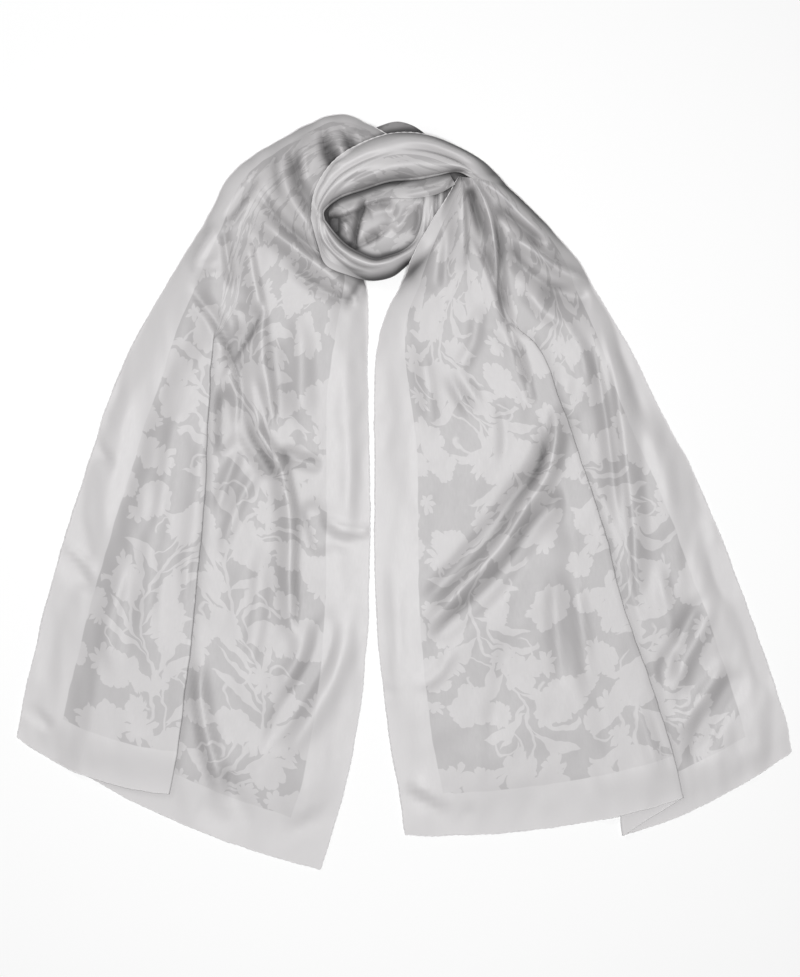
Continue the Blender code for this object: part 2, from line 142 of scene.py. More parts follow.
# Each tail, from the loop down to its hem, as in its solid: rows as TailRow names them
LEFT_TAIL = [
    (-14, 421, -24, 408, -30, 400, -48, 378, 16, 20, 4),
    (-38, 437, -48, 420, -55, 405, -75, 365, 8, 20, 8),
    (-77, 452, -81, 425, -84, 407, -95, 345, 0, 17, 14),
    (-119, 438, -117, 410, -115, 392, -104, 318, 0, 15, 15),
    (-149, 421, -139, 393, -133, 376, -102, 298, 0, 14, 15),
    (-197, 391, -174, 366, -162, 352, -92, 276, 0, 12, 15),
    (-241, 320, -203, 306, -184, 300, -50, 256, 0, 4, 13),
    (-264, 282, -213, 272, -194, 268, -44, 240, 0, 0, 11),
    (-293, 234, -222, 221, -203, 218, -44, 190, 0, 0, 8),
    (-323, 181, -229, 166, -236, 167, -44, 135, 0, 0, 5),
    (-354, 109, -234, 90, -262, 94, -42, 61, 0, 0, 3),
    (-377, 37, -237, 12, -290, 21, -41, -23, 0, 0, 1),
    (-400, -35, -243, -64, -318, -50, -42, -101, 0, 0, 0),
    (-440, -179, -259, -213, -360, -193, -52, -251, 0, 0, 0),
    (-456, -251, -270, -303, -382, -270, -70, -352, 0, 0, 0),
    (-464, -295, -281, -362, -398, -332, -100, -454, 0, 0, 0),
]
RIGHT_TAIL = [
    (65, 375, 74, 372, 82, 370, 126, 365, 15, 0, 16),
    (54, 354, 82, 352, 94, 351, 143, 350, 16, 0, 17),
    (36, 326, 95, 322, 108, 322, 180, 310, 14, 0, 16),
    (17, 292, 104, 285, 118, 284, 207, 280, 6, 0, 16),
    (-3, 248, 110, 245, 124, 244, 227, 245, 0, 0, 14),
    (-24, 207, 121, 209, 131, 209, 249, 206, 0, 0, 11),
    (-33, 170, 161, 170, 146, 170, 272, 168, 0, 0, 8),
    (-35, 110, 185, 110, 160, 112, 301, 109, 0, 0, 6),
    (-35, 30, 215, 28, 184, 34, 345, 25, 0, 0, 4),
    (-35, -50, 241, -53, 203, -46, 378, -50, 0, 0, 2),
    (-34, -131, 262, -135, 217, -127, 408, -131, 0, 0, 1),
    (-29, -203, 288, -208, 233, -203, 434, -203, 0, 0, 0),
    (-20, -275, 313, -283, 247, -283, 455, -264, 0, 0, 0),
    (2, -412, 335, -367, 262, -412, 464, -312, 0, 0, 0),
]

# The loop's stretches, as in their solids: outer x, y, inner x, y, outer height, inner height, crest
BAND = [
    (126, 365, 84, 372, 0, 25, 28),
    (97, 394, 64, 380, 0, 26, 32),
    (61, 414, 40, 376, 6, 28, 36),
    (31, 424, 19, 372, 16, 28, 39),
    (-14, 426, -14, 370, 20, 28, 41),
    (-65, 406, -48, 360, 20, 27, 40),
    (-90, 385, -77, 350, 18, 26, 38),
    (-107, 353, -96, 334, 16, 24, 34),
    (-111, 324, -96, 323, 13, 21, 30),
]
RING = [
    (-111, 324, -96, 323, 13, 21, 30),
    (-103, 294, -84, 307, 8, 17, 29),
    (-93, 269, -70, 293, 2, 16, 28),
    (-65, 257, -53, 283, 0, 15, 27),
    (-41, 252, -35, 276, 0, 15, 27),
    (-14, 257, -19, 279, 0, 15, 27),
    (7, 273, -2, 285, 0, 15, 25),
    (29, 287, 12, 296, 13, 15, 22),
    (48, 316, 22, 318, 14, 14, 18),
    (54, 343, 25, 343, 13, 14, 16),
    (58, 370, 27, 372, 12, 12, 14),
]
SWIRL = [
    (-90, 308, -90, 334, 10, 12, 12),
    (-84, 300, -84, 344, 10, 15, 13),
    (-66, 285, -66, 356, 9, 17, 14),
    (-40, 272, -40, 364, 9, 18, 15),
    (-14, 274, -14, 366, 9, 18, 15),
    (10, 290, 10, 364, 9, 17, 14),
    (30, 320, 30, 356, 8, 14, 12),
]
TUCK = [
    (-17, 349, -12, 362, 15, 17, 17),
    (14, 349, 14, 376, 18, 21, 23),
    (40, 354, 38, 381, 19, 21, 24),
    (61, 364, 53, 381, 19, 19, 21),
]
LOOP_BEHIND = [
    (-50, 428, -52, 392, 0, 9, 9),
    (-31, 437, -33, 390, 0, 11, 11),
    (-6, 443, -8, 388, 0, 12, 13),
    (11, 438, 8, 388, 0, 12, 13),
    (31, 424, 26, 390, 0, 11, 11),
    (50, 410, 42, 392, 0, 9, 9),
]

# The heap of hidden layers: lower x, y and upper x, y of its outline
HEAP = [
    (-222, 268, -200, 345),
    (-184, 205, -165, 385),
    (-130, 188, -115, 412),
    (-85, 205, -80, 422),
    (-58, 264, -56, 416),
    (-14, 276, -10, 424),
    (24, 284, 30, 405),
    (60, 225, 66, 395),
    (100, 188, 110, 362),
    (150, 188, 156, 318),
    (200, 215, 200, 268),
]

# The folds and creases of each stretch: ridges, and hollows where the height is below zero
LEFT_FOLDS = [
    # On the shoulder
    Fold(((-136, 424), (-131, 394), (-125, 371), (-113, 346), (-103, 320)), -10, 7, 8, 0.35, 0.3),
    Fold(((-112, 426), (-119, 397), (-118, 361), (-107, 331)), 4, 6, 5, 0.2, 0.3),
    Fold(((-140, 420), (-144, 377), (-135, 350), (-120, 326), (-99, 299)), 6, 7, 8),
    Fold(((-161, 409), (-155, 373), (-151, 340)), -4, 8, 8),
    Fold(((-170, 385), (-185, 359), (-216, 316)), -5, 5, 8, 0.3, 0.2),
    Fold(((-182, 354), (-197, 332), (-210, 311)), 3, 5, 5),
    Fold(((-222, 318), (-238, 294), (-254, 265)), 4, 8, 5, 0.2, 0.2),
    Fold(((-216, 316), (-211, 280), (-205, 239)), -5, 5, 5, 0.2, 0.3),
    Fold(((-257, 265), (-238, 270), (-218, 275)), 2, 3.5, 3.5, 0.2, 0.4),
    Fold(((-250, 252), (-230, 259), (-214, 262)), 2, 3.5, 3.5, 0.2, 0.4),
    # The pocket beside the band and its small sharp folds
    Fold(((-88, 446), (-96, 430), (-94, 411), (-85, 394)), -16, 8, 8, 0.7, 0),
    Fold(((-79, 424), (-77, 414), (-72, 400)), 5, 3.5, 4, 0.5, 0),
    Fold(((-80, 442), (-70, 427), (-61, 407)), -10, 5, 5, 0.8, 0),
    Fold(((-59, 431), (-53, 421), (-50, 414)), 3, 4, 3.5, 0.2, 0.2),
    Fold(((-103, 436), (-101, 419), (-98, 402)), 3, 4, 6, 0.3, 0.2),
    # The roll that ends below the ring, and the hollow above it
    Fold(
        ((-192, 316), (-170, 318), (-143, 299), (-115, 278), (-88, 258), (-68, 242)),
        7, 7, 11, 0.3, 0,
    ),
    Fold(((-181, 372), (-166, 346), (-145, 320), (-106, 288), (-76, 264)), -6.5, 6, 7, 0.3, 0.2),
    Fold(((-150, 274), (-118, 254), (-93, 239), (-66, 228)), -4.5, 3.5, 7, 0.5, 0),
    Fold(((-66, 229), (-58, 241), (-50, 254)), -3.5, 3.5, 3.5, 0, 0.3),
    # The second pleat's edges, which meet in a point
    Fold(
        ((-262, 251), (-229, 204), (-205, 160), (-194, 115),
         (-194, 76), (-185, 53), (-170, 37), (-144, 13)),
        -5.5, 11, 3.5, 0.15, 0.4,
    ),
    Fold(((-250, 232), (-229, 199), (-209, 157), (-200, 115)), 2.5, 3.5, 14, 0.3, 0.4),
    Fold(((-170, 227), (-175, 205), (-205, 158)), -8, 3.5, 13, 0.25, 0),
    Fold(
        ((-187, 306), (-179, 253), (-170, 210), (-168, 169), (-162, 124), (-154, 56)),
        5, 5, 12, 0.1, 0.3,
    ),
    Fold(((-202, 229), (-194, 199), (-199, 175)), -3, 8, 8),
    Fold(((-179, 143), (-170, 109), (-163, 61)), -3, 6, 6),
    Fold(((-158, 193), (-149, 133), (-145, 73)), -3, 9, 9),
    Fold(((-125, 217), (-122, 145), (-125, 73)), 3, 12, 10),
    Fold(((-197, 96), (-188, 66), (-170, 38), (-142, 4)), -7, 6, 9),
    Fold(((-182, 86), (-168, 58), (-142, 24)), 6, 7, 7),
    # Beside the main fold
    Fold(((-220, 131), (-215, 85), (-221, 35)), -8, 14, 9, 0.3, 0.4),
    Fold(((-193, 61), (-209, 19), (-227, -35)), -4, 6, 9),
    Fold(((-170, 35), (-197, -11), (-220, -83)), 3, 8, 7),
    # Ridges and hollows of the back
    Fold(
        ((-154, 56), (-145, 19), (-138, -11), (-136, -109), (-134, -158), (-124, -199)),
        7, 6, 12, 0.1, 0.3,
    ),
    Fold(((-151, 53), (-125, 38), (-95, 29)), -7, 5, 7),
    Fold(((-120, -8), (-107, -44), (-98, -85)), -6, 15, 8, 0.3, 0.4),
    Fold(((-109, -44), (-77, -61), (-38, -64)), -4, 5, 7, 0.3, 0),
    Fold(((-103, -30), (-71, -46), (-40, -48)), 3, 5, 5, 0.3, 0.1),
    Fold(((-89, -131), (-98, -191), (-132, -251), (-170, -317)), -9, 12, 11),
    Fold(((-67, -143), (-77, -203), (-110, -269), (-146, -332)), 5, 14, 12),
    Fold(((-115, -143), (-125, -197), (-154, -251)), 4, 9, 12),
    Fold(((-248, -191), (-244, -256), (-232, -317), (-214, -371)), 7, 11, 6, 0.3, 0.2),
    Fold(((-170, -59), (-175, -155), (-190, -239)), -3.5, 9, 12, 0.3, 0.4),
    Fold(((-71, 193), (-65, 49), (-70, -83)), 3, 10, 12, 0.4, 0.4),
    Fold(((-76, -393), (-110, -398), (-140, -412), (-166, -426)), -5, 6, 8, 0.1, 0.3),
    Fold(((-215, -330), (-200, -371), (-182, -407)), -4, 6, 8, 0.2, 0.3),
    Fold(((-246, -372), (-222, -392), (-196, -400)), -3.5, 8, 10, 0.3, 0.4),
    # The front layer
    Fold(((-402, -20), (-384, -60), (-372, -104)), -2.5, 9, 12, 0.4, 0.4),
    Fold(((-305, 193), (-341, 73), (-371, -83)), 3, 14, 22, 0.4, 0.4),
    Fold(((-263, 193), (-287, 49), (-305, -131), (-317, -275)), 3.5, 14, 18, 0.3, 0.4),
    Fold(((-239, 109), (-250, -35), (-263, -179)), 2.5, 8, 12, 0.3, 0.4),
    Fold(((-277, 120), (-296, 20), (-312, -70)), -2.5, 9, 9, 0.3, 0.4),
    Fold(((-331, 152), (-350, 95), (-361, 50)), -2, 9, 9, 0.4, 0.5),
    Fold(((-374, 62), (-362, 46), (-344, 26)), -4, 5, 7, 0.3, 0.5),
    Fold(((-414, -66), (-395, -90), (-366, -124)), -5, 5, 8, 0.2, 0.4),
    Fold(((-413, -59), (-389, -78), (-365, -101)), 2.5, 5, 5, 0.2, 0.4),
    Fold(((-456, -258), (-439, -270), (-420, -287)), -3, 5, 6, 0.2, 0.3),
    Fold(((-324, -240), (-313, -267), (-306, -292)), -6, 8, 10, 0.4, 0.4),
    Fold(((-329, -72), (-349, -160), (-353, -239)), 3, 9, 12, 0.3, 0.4),
    Fold(((-250, -60), (-248, -120), (-256, -191)), -3, 6, 8, 0.3, 0.4),
]
RIGHT_FOLDS = [
    # The top piece, the narrow roll beside it and the pocket between them
    Fold(((68, 366), (71, 301), (70, 259)), 5, 3.5, 14, 0, 0.4),
    Fold(((77, 362), (84, 337), (91, 312), (99, 286)), -9, 6, 5, 0.1, 0.5),
    Fold(((73, 376), (90, 355), (102, 324), (108, 292), (112, 239)), 7, 5, 5, 0, 0.2),
    Fold(((107, 331), (114, 289), (115, 244), (122, 210)), -6, 8, 3.5, 0.2, 0.2),
    Fold(((44, 311), (38, 275), (29, 229)), 4, 12, 14),
    Fold(((58, 331), (50, 283), (48, 229)), -3, 6, 7),
    # Across the shoulder
    Fold(((62, 384), (114, 354), (152, 317), (187, 292)), 8, 10, 6, 0.15, 0.3),
    Fold(((106, 341), (150, 308), (173, 289)), -7, 5, 7, 0.2, 0.3),
    Fold(((121, 306), (150, 289), (185, 265), (223, 248)), 7, 6, 7, 0.2, 0.2),
    Fold(((119, 296), (139, 272), (169, 248), (211, 238)), -7, 5, 10, 0.2, 0.3),
    Fold(((157, 240), (190, 233), (226, 230)), -6, 9, 12, 0.3, 0.2),
    Fold(((139, 247), (169, 215), (197, 193)), 4, 9, 9, 0.3, 0.4),
    Fold(((88, 385), (139, 354), (187, 311)), -4, 6, 6),
    # The crease that runs into the dark pocket
    Fold(
        ((79, 311), (97, 277), (112, 239), (128, 192), (138, 162), (149, 124)),
        -6, 7, 3.5, 0.2, 0.1,
    ),
    Fold(((138, 184), (147, 150), (154, 112)), -11, 5, 4.5, 0.3, 0),
    Fold(((126, 203), (139, 175), (156, 143)), 3, 4, 4),
    # The long bent ridge and the hollows on both its sides
    Fold(
        ((178, 114), (179, 64), (170, 23), (144, -20), (115, -65), (61, -124), (19, -172)),
        9, 10, 6, 0.15, 0.2,
    ),
    Fold(
        ((166, 112), (169, 66), (160, 30), (132, -8), (106, -47), (52, -107), (16, -144)),
        -9, 6, 9, 0.15, 0.2,
    ),
    Fold(
        ((199, 35), (182, -11), (154, -42), (127, -83), (101, -116), (61, -151), (29, -184)),
        -8, 12, 6, 0.2, 0.15,
    ),
    # Beside and below it
    Fold(((50, 145), (67, 114), (85, 80)), -4, 6, 7, 0.45, 0.5),
    Fold(((61, 150), (79, 121), (100, 92)), 2.5, 6, 6, 0.45, 0.5),
    Fold(((91, 229), (79, 169), (58, 133)), 3, 8, 8),
    Fold(((115, 115), (121, 61), (113, 13)), -3, 8, 8, 0.3, 0.4),
    Fold(((20, 181), (29, 109), (31, 49)), 3, 9, 10, 0.3, 0.4),
    Fold(((178, -83), (182, -155), (190, -251)), -4, 9, 8, 0.3, 0.4),
    Fold(((204, -95), (214, -179), (223, -263)), 4, 9, 9, 0.3, 0.4),
    Fold(((235, -155), (250, -239), (262, -323)), -3, 8, 10, 0.3, 0.4),
    Fold(((127, -155), (115, -239), (103, -323)), -2.5, 12, 12, 0.3, 0.4),
    Fold(((62, -179), (38, -222), (12, -239)), 2.5, 7, 7),
    Fold(((-14, -356), (19, -370), (48, -390), (66, -408)), -3.5, 5, 5, 0.1, 0),
    Fold(((-6, -347), (26, -359), (58, -382)), 2.5, 8, 6),
    Fold(((66, -412), (72, -396), (84, -370)), -4, 4, 5, 0, 0.6),
    Fold(((-38, -234), (-22, -240), (0, -242)), -1.5, 5, 6, 0.1, 0.8),
    Fold(((-13, -83), (-7, -179), (-10, -275)), 2, 8, 8, 0.3, 0.4),
    # The back layer
    Fold(((345, -20), (372, -90), (404, -160)), -3, 12, 14, 0.4, 0.4),
    Fold(((398, -120), (424, -180), (436, -250)), -3.5, 9, 12, 0.4, 0.4),
    Fold(
        ((233, 222), (251, 145), (263, 62), (275, -44), (280, -115), (298, -185)),
        4.5, 14, 6, 0.25, 0.3,
    ),
    Fold(((221, 193), (238, 109), (250, 25), (257, -59)), -4, 5, 10),
    Fold(((301, -83), (317, -155), (336, -239)), 3, 10, 10, 0.3, 0.4),
    Fold(((361, -119), (331, -174), (301, -239)), -5, 8, 9),
    Fold(((374, -131), (346, -188), (317, -251)), 3.5, 9, 8),
    Fold(((412, -210), (377, -265), (336, -330)), -6, 10, 11),
    Fold(((389, -197), (355, -251), (319, -299)), 4, 9, 9),
    Fold(((182, 222), (211, 169), (230, 109)), 3, 8, 10),
    Fold(((283, 109), (307, 25), (322, -59)), 3, 14, 12, 0.3, 0.4),
    Fold(((247, 205), (271, 133), (301, 49)), -3, 9, 9, 0.3, 0.4),
    Fold(((278, -251), (293, -299), (307, -347)), 3, 7, 6),
]
BAND_FOLDS = [
    Fold(((-107, 328), (-94, 354), (-78, 373), (-52, 389), (-7, 404)), -5, 6, 2, 0, 0.3),
    Fold(((-103, 326), (-86, 349), (-58, 371), (-17, 385)), -3, 4, 3, 0, 0.4),
    Fold(((-98, 366), (-84, 384), (-68, 394)), 3, 3, 3),
    Fold(((-102, 359), (-89, 379), (-73, 390)), -3, 2, 3),
    Fold(((-8, 406), (31, 403), (65, 391), (94, 371)), -6, 8, 2, 0.4, 0.4),
    Fold(((-38, 409), (19, 415), (67, 402), (106, 376)), 4, 8, 6),
    Fold(((-62, 361), (-17, 378), (31, 388)), 3, 8, 9, 0.3, 0.4),
    Fold(((83, 397), (113, 370)), -3, 5, 5),
    Fold(((-71, 397), (-38, 412), (-2, 419)), -2.5, 4, 4),
]
RING_FOLDS = [
    Fold(((-104, 326), (-102, 305), (-85, 281), (-65, 265), (-38, 258)), -5, 2, 5, 0, 0.3),
    Fold(((-98, 328), (-92, 304), (-71, 278), (-43, 265), (-14, 268)), -4, 2, 5, 0, 0.3),
    Fold(((-89, 311), (-78, 293), (-53, 276), (-22, 272), (5, 287)), 4, 5, 6, 0.2, 0.3),
    Fold(((-95, 306), (-82, 287), (-62, 275)), -3, 3, 3, 0.2, 0.3),
    Fold(((11, 275), (19, 294), (24, 313)), -3, 4, 4, 0.2, 0.2),
    Fold(((26, 306), (29, 332), (29, 354)), -6, 3, 3, 0.1, 0),
    Fold(((40, 313), (38, 340), (38, 356)), -6, 3, 3, 0.1, 0),
    Fold(((50, 332), (50, 349), (50, 359)), -5, 3, 3, 0.1, 0),
]
SWIRL_FOLDS = [
    # The edge of the layer under the band
    Fold(
        ((-98, 323), (-83, 326), (-70, 329), (-56, 335), (-46, 340), (-26, 346), (-2, 349)),
        -9, 1.6, 9, 0, 0.4,
    ),
    # The dark hole and the dark three-cornered pocket
    Fold(((-84, 324), (-82, 313)), -16, 5.5, 5.5, 0, 0),
    Fold(((-48, 341), (-54, 319), (-59, 293)), -13, 2, 6, 0, 0),
    Fold(((-71, 323), (-67, 306)), 4, 4, 4, 0.1, 0.3),
    # The lower edge, bent to a point
    Fold(((-84, 306), (-72, 298), (-59, 290)), -6, 6, 1.6, 0.1, 0),
    Fold(((-59, 290), (-37, 300), (-12, 319)), -7, 6, 1.6, 0, 0.3),
    # The lobe on the right
    Fold(((-43, 334), (-26, 338), (-5, 330)), 4, 7, 8, 0.1, 0.3),
    Fold(((-30, 344), (-14, 341)), -4, 5, 5, 0.2, 0.2),
    Fold(((-46, 299), (-29, 308)), -5, 5, 4, 0.1, 0.3),
    Fold(((-14, 311), (0, 323), (7, 340)), 4, 5, 6, 0.2, 0.3),
    Fold(((12, 304), (18, 323), (17, 344)), -5, 5, 4, 0.2, 0.2),
    Fold(((-77, 342), (-47, 352), (-14, 358)), -3, 6, 6, 0.2, 0.3),
]
TUCK_FOLDS = [
    Fold(((-10, 356), (20, 361), (56, 372)), -3, 4, 4),
]
BEHIND_FOLDS = [
    Fold(((-20, 432), (10, 428), (34, 414)), -2, 6, 6),
]


def smoothstep(value):
    """From 0 to 1 with no corner at either end."""
    share = np.clip(value, 0.0, 1.0)
    return share * share * (3.0 - 2.0 * share)


def soft_floor(height, width):
    """Heights kept above the floor, with no corner where they meet it."""
    return (height + np.sqrt(height * height + width * width)) / 2


def through(table, places, plan_columns):
    """Rows read at places, from 0 to 1, on the smooth curve that runs through the table's rows."""
    rows = np.array(table, float)
    steps = np.linalg.norm(np.diff(rows[:, :plan_columns], axis=0), axis=1)
    knots = np.concatenate([[0.0], np.cumsum(steps)]) / steps.sum()
    slopes = np.gradient(rows, knots, axis=0)
    at = np.clip(np.searchsorted(knots, places, side="right") - 1, 0, len(knots) - 2)
    span = (knots[at + 1] - knots[at])[:, None]
    t = (np.asarray(places)[:, None] - knots[at][:, None]) / span
    return (
        (2 * t**3 - 3 * t**2 + 1) * rows[at]
        + (t**3 - 2 * t**2 + t) * span * slopes[at]
        + (3 * t**2 - 2 * t**3) * rows[at + 1]
        + (t**3 - t**2) * span * slopes[at + 1]
    )


def fold_height(plan, folds):
    """Height that the folds add at each plan point: a ridge with its own width on each side.

    Each point takes its place along the nearest stretch of the route, where the ridge also fades.
    """
    total = np.zeros(plan.shape[:-1])
    for fold in folds:
        route = through(fold.route, np.linspace(0, 1, FOLD_POINTS), 2)
        starts, runs = route[:-1], np.diff(route, axis=0)
        lengths = np.linalg.norm(runs, axis=1)
        offset = plan[..., None, :] - starts
        share = np.clip((offset * runs).sum(-1) / lengths**2, 0, 1)
        away = offset - share[..., None] * runs
        distance = np.linalg.norm(away, axis=-1)
        nearest = distance.argmin(-1)[..., None]
        side = runs[:, 0] * offset[..., 1] - runs[:, 1] * offset[..., 0]
        gap = np.take_along_axis(distance, nearest, -1)[..., 0]
        signed = gap * np.sign(np.take_along_axis(side, nearest, -1)[..., 0])
        width = np.where(signed > 0, fold.left_width, fold.right_width)
        along = (nearest[..., 0] + np.take_along_axis(share, nearest, -1)[..., 0]) / len(runs)
        ridge = fold.height * np.exp(-((gap / width) ** 2))
        if fold.start:
            ridge *= smoothstep(along / fold.start)
        if fold.end:
            ridge *= smoothstep((1 - along) / fold.end)
        total += ridge
    return total


def ripple_height(plan, across, along, height, seed):
    """Slight unevenness of the cloth, longer along the shawl than across it."""
    flat = plan.reshape(-1, 2)
    values = [noise.noise(Vector((x / across, y / along, seed))) for x, y in flat]
    return height * np.array(values).reshape(plan.shape[:2])


def uneven_plan(plan, seed):
    """How far each plan point is off, so that no edge of the cloth runs dead straight."""
    long, short = (
        np.stack([ripple_height(plan, length, length, far, seed + number) for number in numbers], 2)
        for length, far, numbers in ((55, 1.6, (1, 2)), (17, 0.9, (6, 7)))
    )
    return long + short


def length_along(plan, height):
    """How far each point lies from the last row of its stretch, along its own column."""
    points = np.concatenate([plan, height[..., None]], axis=2)
    steps = np.linalg.norm(np.diff(points, axis=0), axis=2)
    travelled = np.concatenate([np.zeros((1, plan.shape[1])), np.cumsum(steps, axis=0)])
    return travelled[-1] - travelled


def hem_bow(depth, place, share):
    """How far a line across the cloth bows down, mostly near the hem."""
    return depth * place**8 * 4 * share * (1 - share)


def tail_section(row, place):
    """Plan points, layer heights and fold shares of one section of a tail, left edge to right."""
    row = TailRow(*row)
    left = np.array([row.left_x, row.left_y])
    fold = np.array([row.fold_x, row.fold_y])
    hidden = np.array([row.hidden_x, row.hidden_y])
    right = np.array([row.right_x, row.right_y])
    width = np.linalg.norm(right - left)
    across = (right - left) / width
    down = np.array([across[1], -across[0]])
    fold_at = (fold - left) @ across
    hidden_at = (hidden - left) @ across
    turn = TURN * np.clip((fold_at - hidden_at) / (4 * TURN), -1, 1)
    half_turn = np.linspace(0, np.pi, TURN_COLUMNS + 2)[1:-1]

    # The front layer, which climbs on the hidden one before its fold
    front_end = fold_at - TURN
    top_of_climb = max(min(hidden_at, fold_at - 4 * TURN) - TURN, 0.45 * front_end)
    front = np.linspace(0, front_end, FRONT_COLUMNS + 1)
    front_share = (front / front_end)[:, None]
    front_line = left + (fold - TURN * across - left) * front_share
    front_line += hem_bow(down * HEM_BOW_FRONT, place, front_share)
    front_height = FRONT_LAYER * smoothstep((front - top_of_climb + CLIMB) / CLIMB)

    # The fold over, the hidden layer and the fold under
    shut = (1 + turn / TURN) / 2
    onward = (2 * half_turn / np.pi - 1) * (1 - shut)
    over = fold + np.outer(onward - shut * (1 - np.sin(half_turn)), TURN * across)
    over_height = OVER_LAYER + HALF_TURN_LAYER * np.cos(half_turn)

    middle_share = np.linspace(0, 1, MIDDLE_COLUMNS + 1)[:, None]
    middle_start = fold - turn * across
    middle_end = hidden + turn * across
    middle_line = middle_start + (middle_end - middle_start) * middle_share
    middle_height = np.linspace(*MIDDLE_LAYER, MIDDLE_COLUMNS + 1)

    under = hidden + np.outer(onward + shut * (1 - np.sin(half_turn)), TURN * across)
    under_height = UNDER_LAYER + HALF_TURN_LAYER * np.cos(half_turn)

    # The back layer, out to the right edge
    back_start = hidden + TURN * across
    back = np.linspace(0, 1, BACK_COLUMNS + 1)[:, None]
    back_line = back_start + (right - back_start) * back
    back_line += hem_bow(down * HEM_BOW_BACK, place, back)

    plan = np.vstack([front_line, over, middle_line, under, back_line])

    # How far the pleat is closed, how high its layers lie and how much of the folds each takes
    closed = smoothstep((fold_at - hidden_at + OPENING) / (OPENING + OPEN_SLOPE))
    layer = LAYER_STEP * closed * np.concatenate([
        front_height, over_height, middle_height, under_height, np.zeros(len(back_line))
    ])
    at = (plan - left) @ across
    takes_folds = np.concatenate([
        np.ones(len(front_line)),
        np.linspace(1.0, 0.7, TURN_COLUMNS),
        np.linspace(0.4, 0.0, MIDDLE_COLUMNS + 1),
        np.zeros(TURN_COLUMNS),
        smoothstep((at - fold_at - PAST_FOLD) / BESIDE_FOLD)[-len(back_line):],
    ])
    takes_folds = 1 - closed * (1 - takes_folds)
    stacked = smoothstep((at - top_of_climb + OVER_HIDDEN) / OVER_HIDDEN) * closed
    stacked[-len(back_line) - TURN_COLUMNS:] = 0

    # The loose height of the section: its ends, its rise and the air under it
    share = at / width
    lift = row.left_z * (1 - share) + row.right_z * share
    lift += row.rise * (1 - np.abs(2 * np.clip(share, 0, 1) - 1) ** 4)
    from_edge = np.minimum(at, width - at)
    air = smoothstep((place - 0.1) / 0.3) * smoothstep((1 - place) / 0.07)
    lift += AIR * air * smoothstep(from_edge / AIR_REACH)

    # Where each point lies on the flat cloth, which is gathered near the loop
    narrowed = 1 + GATHERED * smoothstep(1 - 3 * place)
    front_cloth = at[:len(front_line) + TURN_COLUMNS] * narrowed
    back_cloth = CLOTH_WIDTH - (width - at[-len(back_line):]) * narrowed
    joining = np.linspace(front_cloth[-1], back_cloth[0], MIDDLE_COLUMNS + TURN_COLUMNS + 3)
    cloth = np.concatenate([front_cloth, joining[1:-1], back_cloth])
    even = EVENED * smoothstep((0.5 - place) / 0.4)
    cloth = cloth * (1 - even) + CLOTH_WIDTH * share * even
    return plan, layer, lift, takes_folds, stacked, cloth


def tail_points(table, folds, seed):
    """Grid of a tail: plan, height of its layers, loose height and places on the flat cloth."""
    places = np.linspace(0, 1, TAIL_ROWS) ** CLOSER_ON_SHOULDER
    sections = map(tail_section, through(table, places, 8), places)
    plan, layer, lift, takes_folds, stacked, cloth = map(np.array, zip(*sections))
    plan = plan + uneven_plan(plan, seed)
    height = fold_height(plan, folds) * takes_folds
    cloth = np.stack([cloth, length_along(plan, lift + height)], axis=2)
    for across, along, high, number in ((34, 95, 1.8, seed), (14, 30, 0.6, seed + 4)):
        height += ripple_height(plan, across, along, high, number) * takes_folds
    height = height * (1 - stacked) + soft_floor(height, SOFT) * stacked
    return plan, layer, soft_floor(lift + height, SOFT), cloth


def strip_points(table, folds, rows, across, even_rows=0):
    """Grid of a rounded stretch, outer edge to inner edge, evenly spaced in its first rows."""
    read = through(table, np.linspace(0, 1, rows + 1), 4)
    even = np.linspace(0, 1, across + 1)
    rounded = (1 - np.cos(even * np.pi)) / 2
    mix = smoothstep(np.arange(rows + 1) / even_rows)[:, None] if even_rows else 1.0
    share = even * (1 - mix) + rounded * mix + np.zeros((rows + 1, 1))
    outer, inner = read[:, None, 0:2], read[:, None, 2:4]
    plan = outer + (inner - outer) * share[..., None]
    ends = read[:, 4:5] * (1 - share) + read[:, 5:6] * share
    dome = 1 - np.abs(2 * share - 1) ** 3
    crown = read[:, 6:7] - (read[:, 4:5] + read[:, 5:6]) / 2
    loose = ends + crown * dome
    loose += fold_height(plan, folds) * dome
    return plan, soft_floor(loose, SOFT)


def turned_under(plan, height):
    """A stretch whose inner edge is rounded off and goes back under itself."""
    outward = plan[:, -1] - plan[:, -4]
    outward = (outward / np.linalg.norm(outward, axis=1, keepdims=True))[:, None]
    angle = np.linspace(0, np.pi, UNDER_COLUMNS + 1)[1:]
    reach = (np.sin(angle) * UNDER_RADIUS)[None, :, None]
    under = plan[:, -1:] + outward * reach
    drop = height[:, -1:] - UNDER_RADIUS * (1 - np.cos(angle))
    return np.concatenate([plan, under], axis=1), np.concatenate([height, drop], axis=1)


def blurred(field, cells):
    """A raster averaged over a square of cells, one way and then the other."""
    for axis in (0, 1):
        field = sum(np.roll(field, step, axis) for step in range(-cells, cells + 1))
        field = field / (2 * cells + 1)
    return field


def put_on_raster(field, plan, height, keep):
    """Puts a stretch's heights on a raster, keeping the higher or the lower ones."""
    points = np.concatenate([plan, height[..., None]], axis=2)
    for row_share in (0.0, 0.5):
        for column_share in (0.0, 0.5):
            part = points[:-1] * (1 - row_share) + points[1:] * row_share
            part = part[:, :-1] * (1 - column_share) + part[:, 1:] * column_share
            cell = np.rint((part[..., :2] - RASTER_LOW) / CELL).astype(int)
            keep.at(field, (cell[..., 0], cell[..., 1]), part[..., 2])


def spread(field, reach, keep):
    """A raster whose highest or lowest places reach out all round."""
    steps = int(reach / CELL)
    wide = field.copy()
    for x in range(-steps, steps + 1):
        for y in range(-steps, steps + 1):
            if x * x + y * y <= steps * steps:
                keep(wide, np.roll(field, (x, y), (0, 1)), out=wide)
    return wide


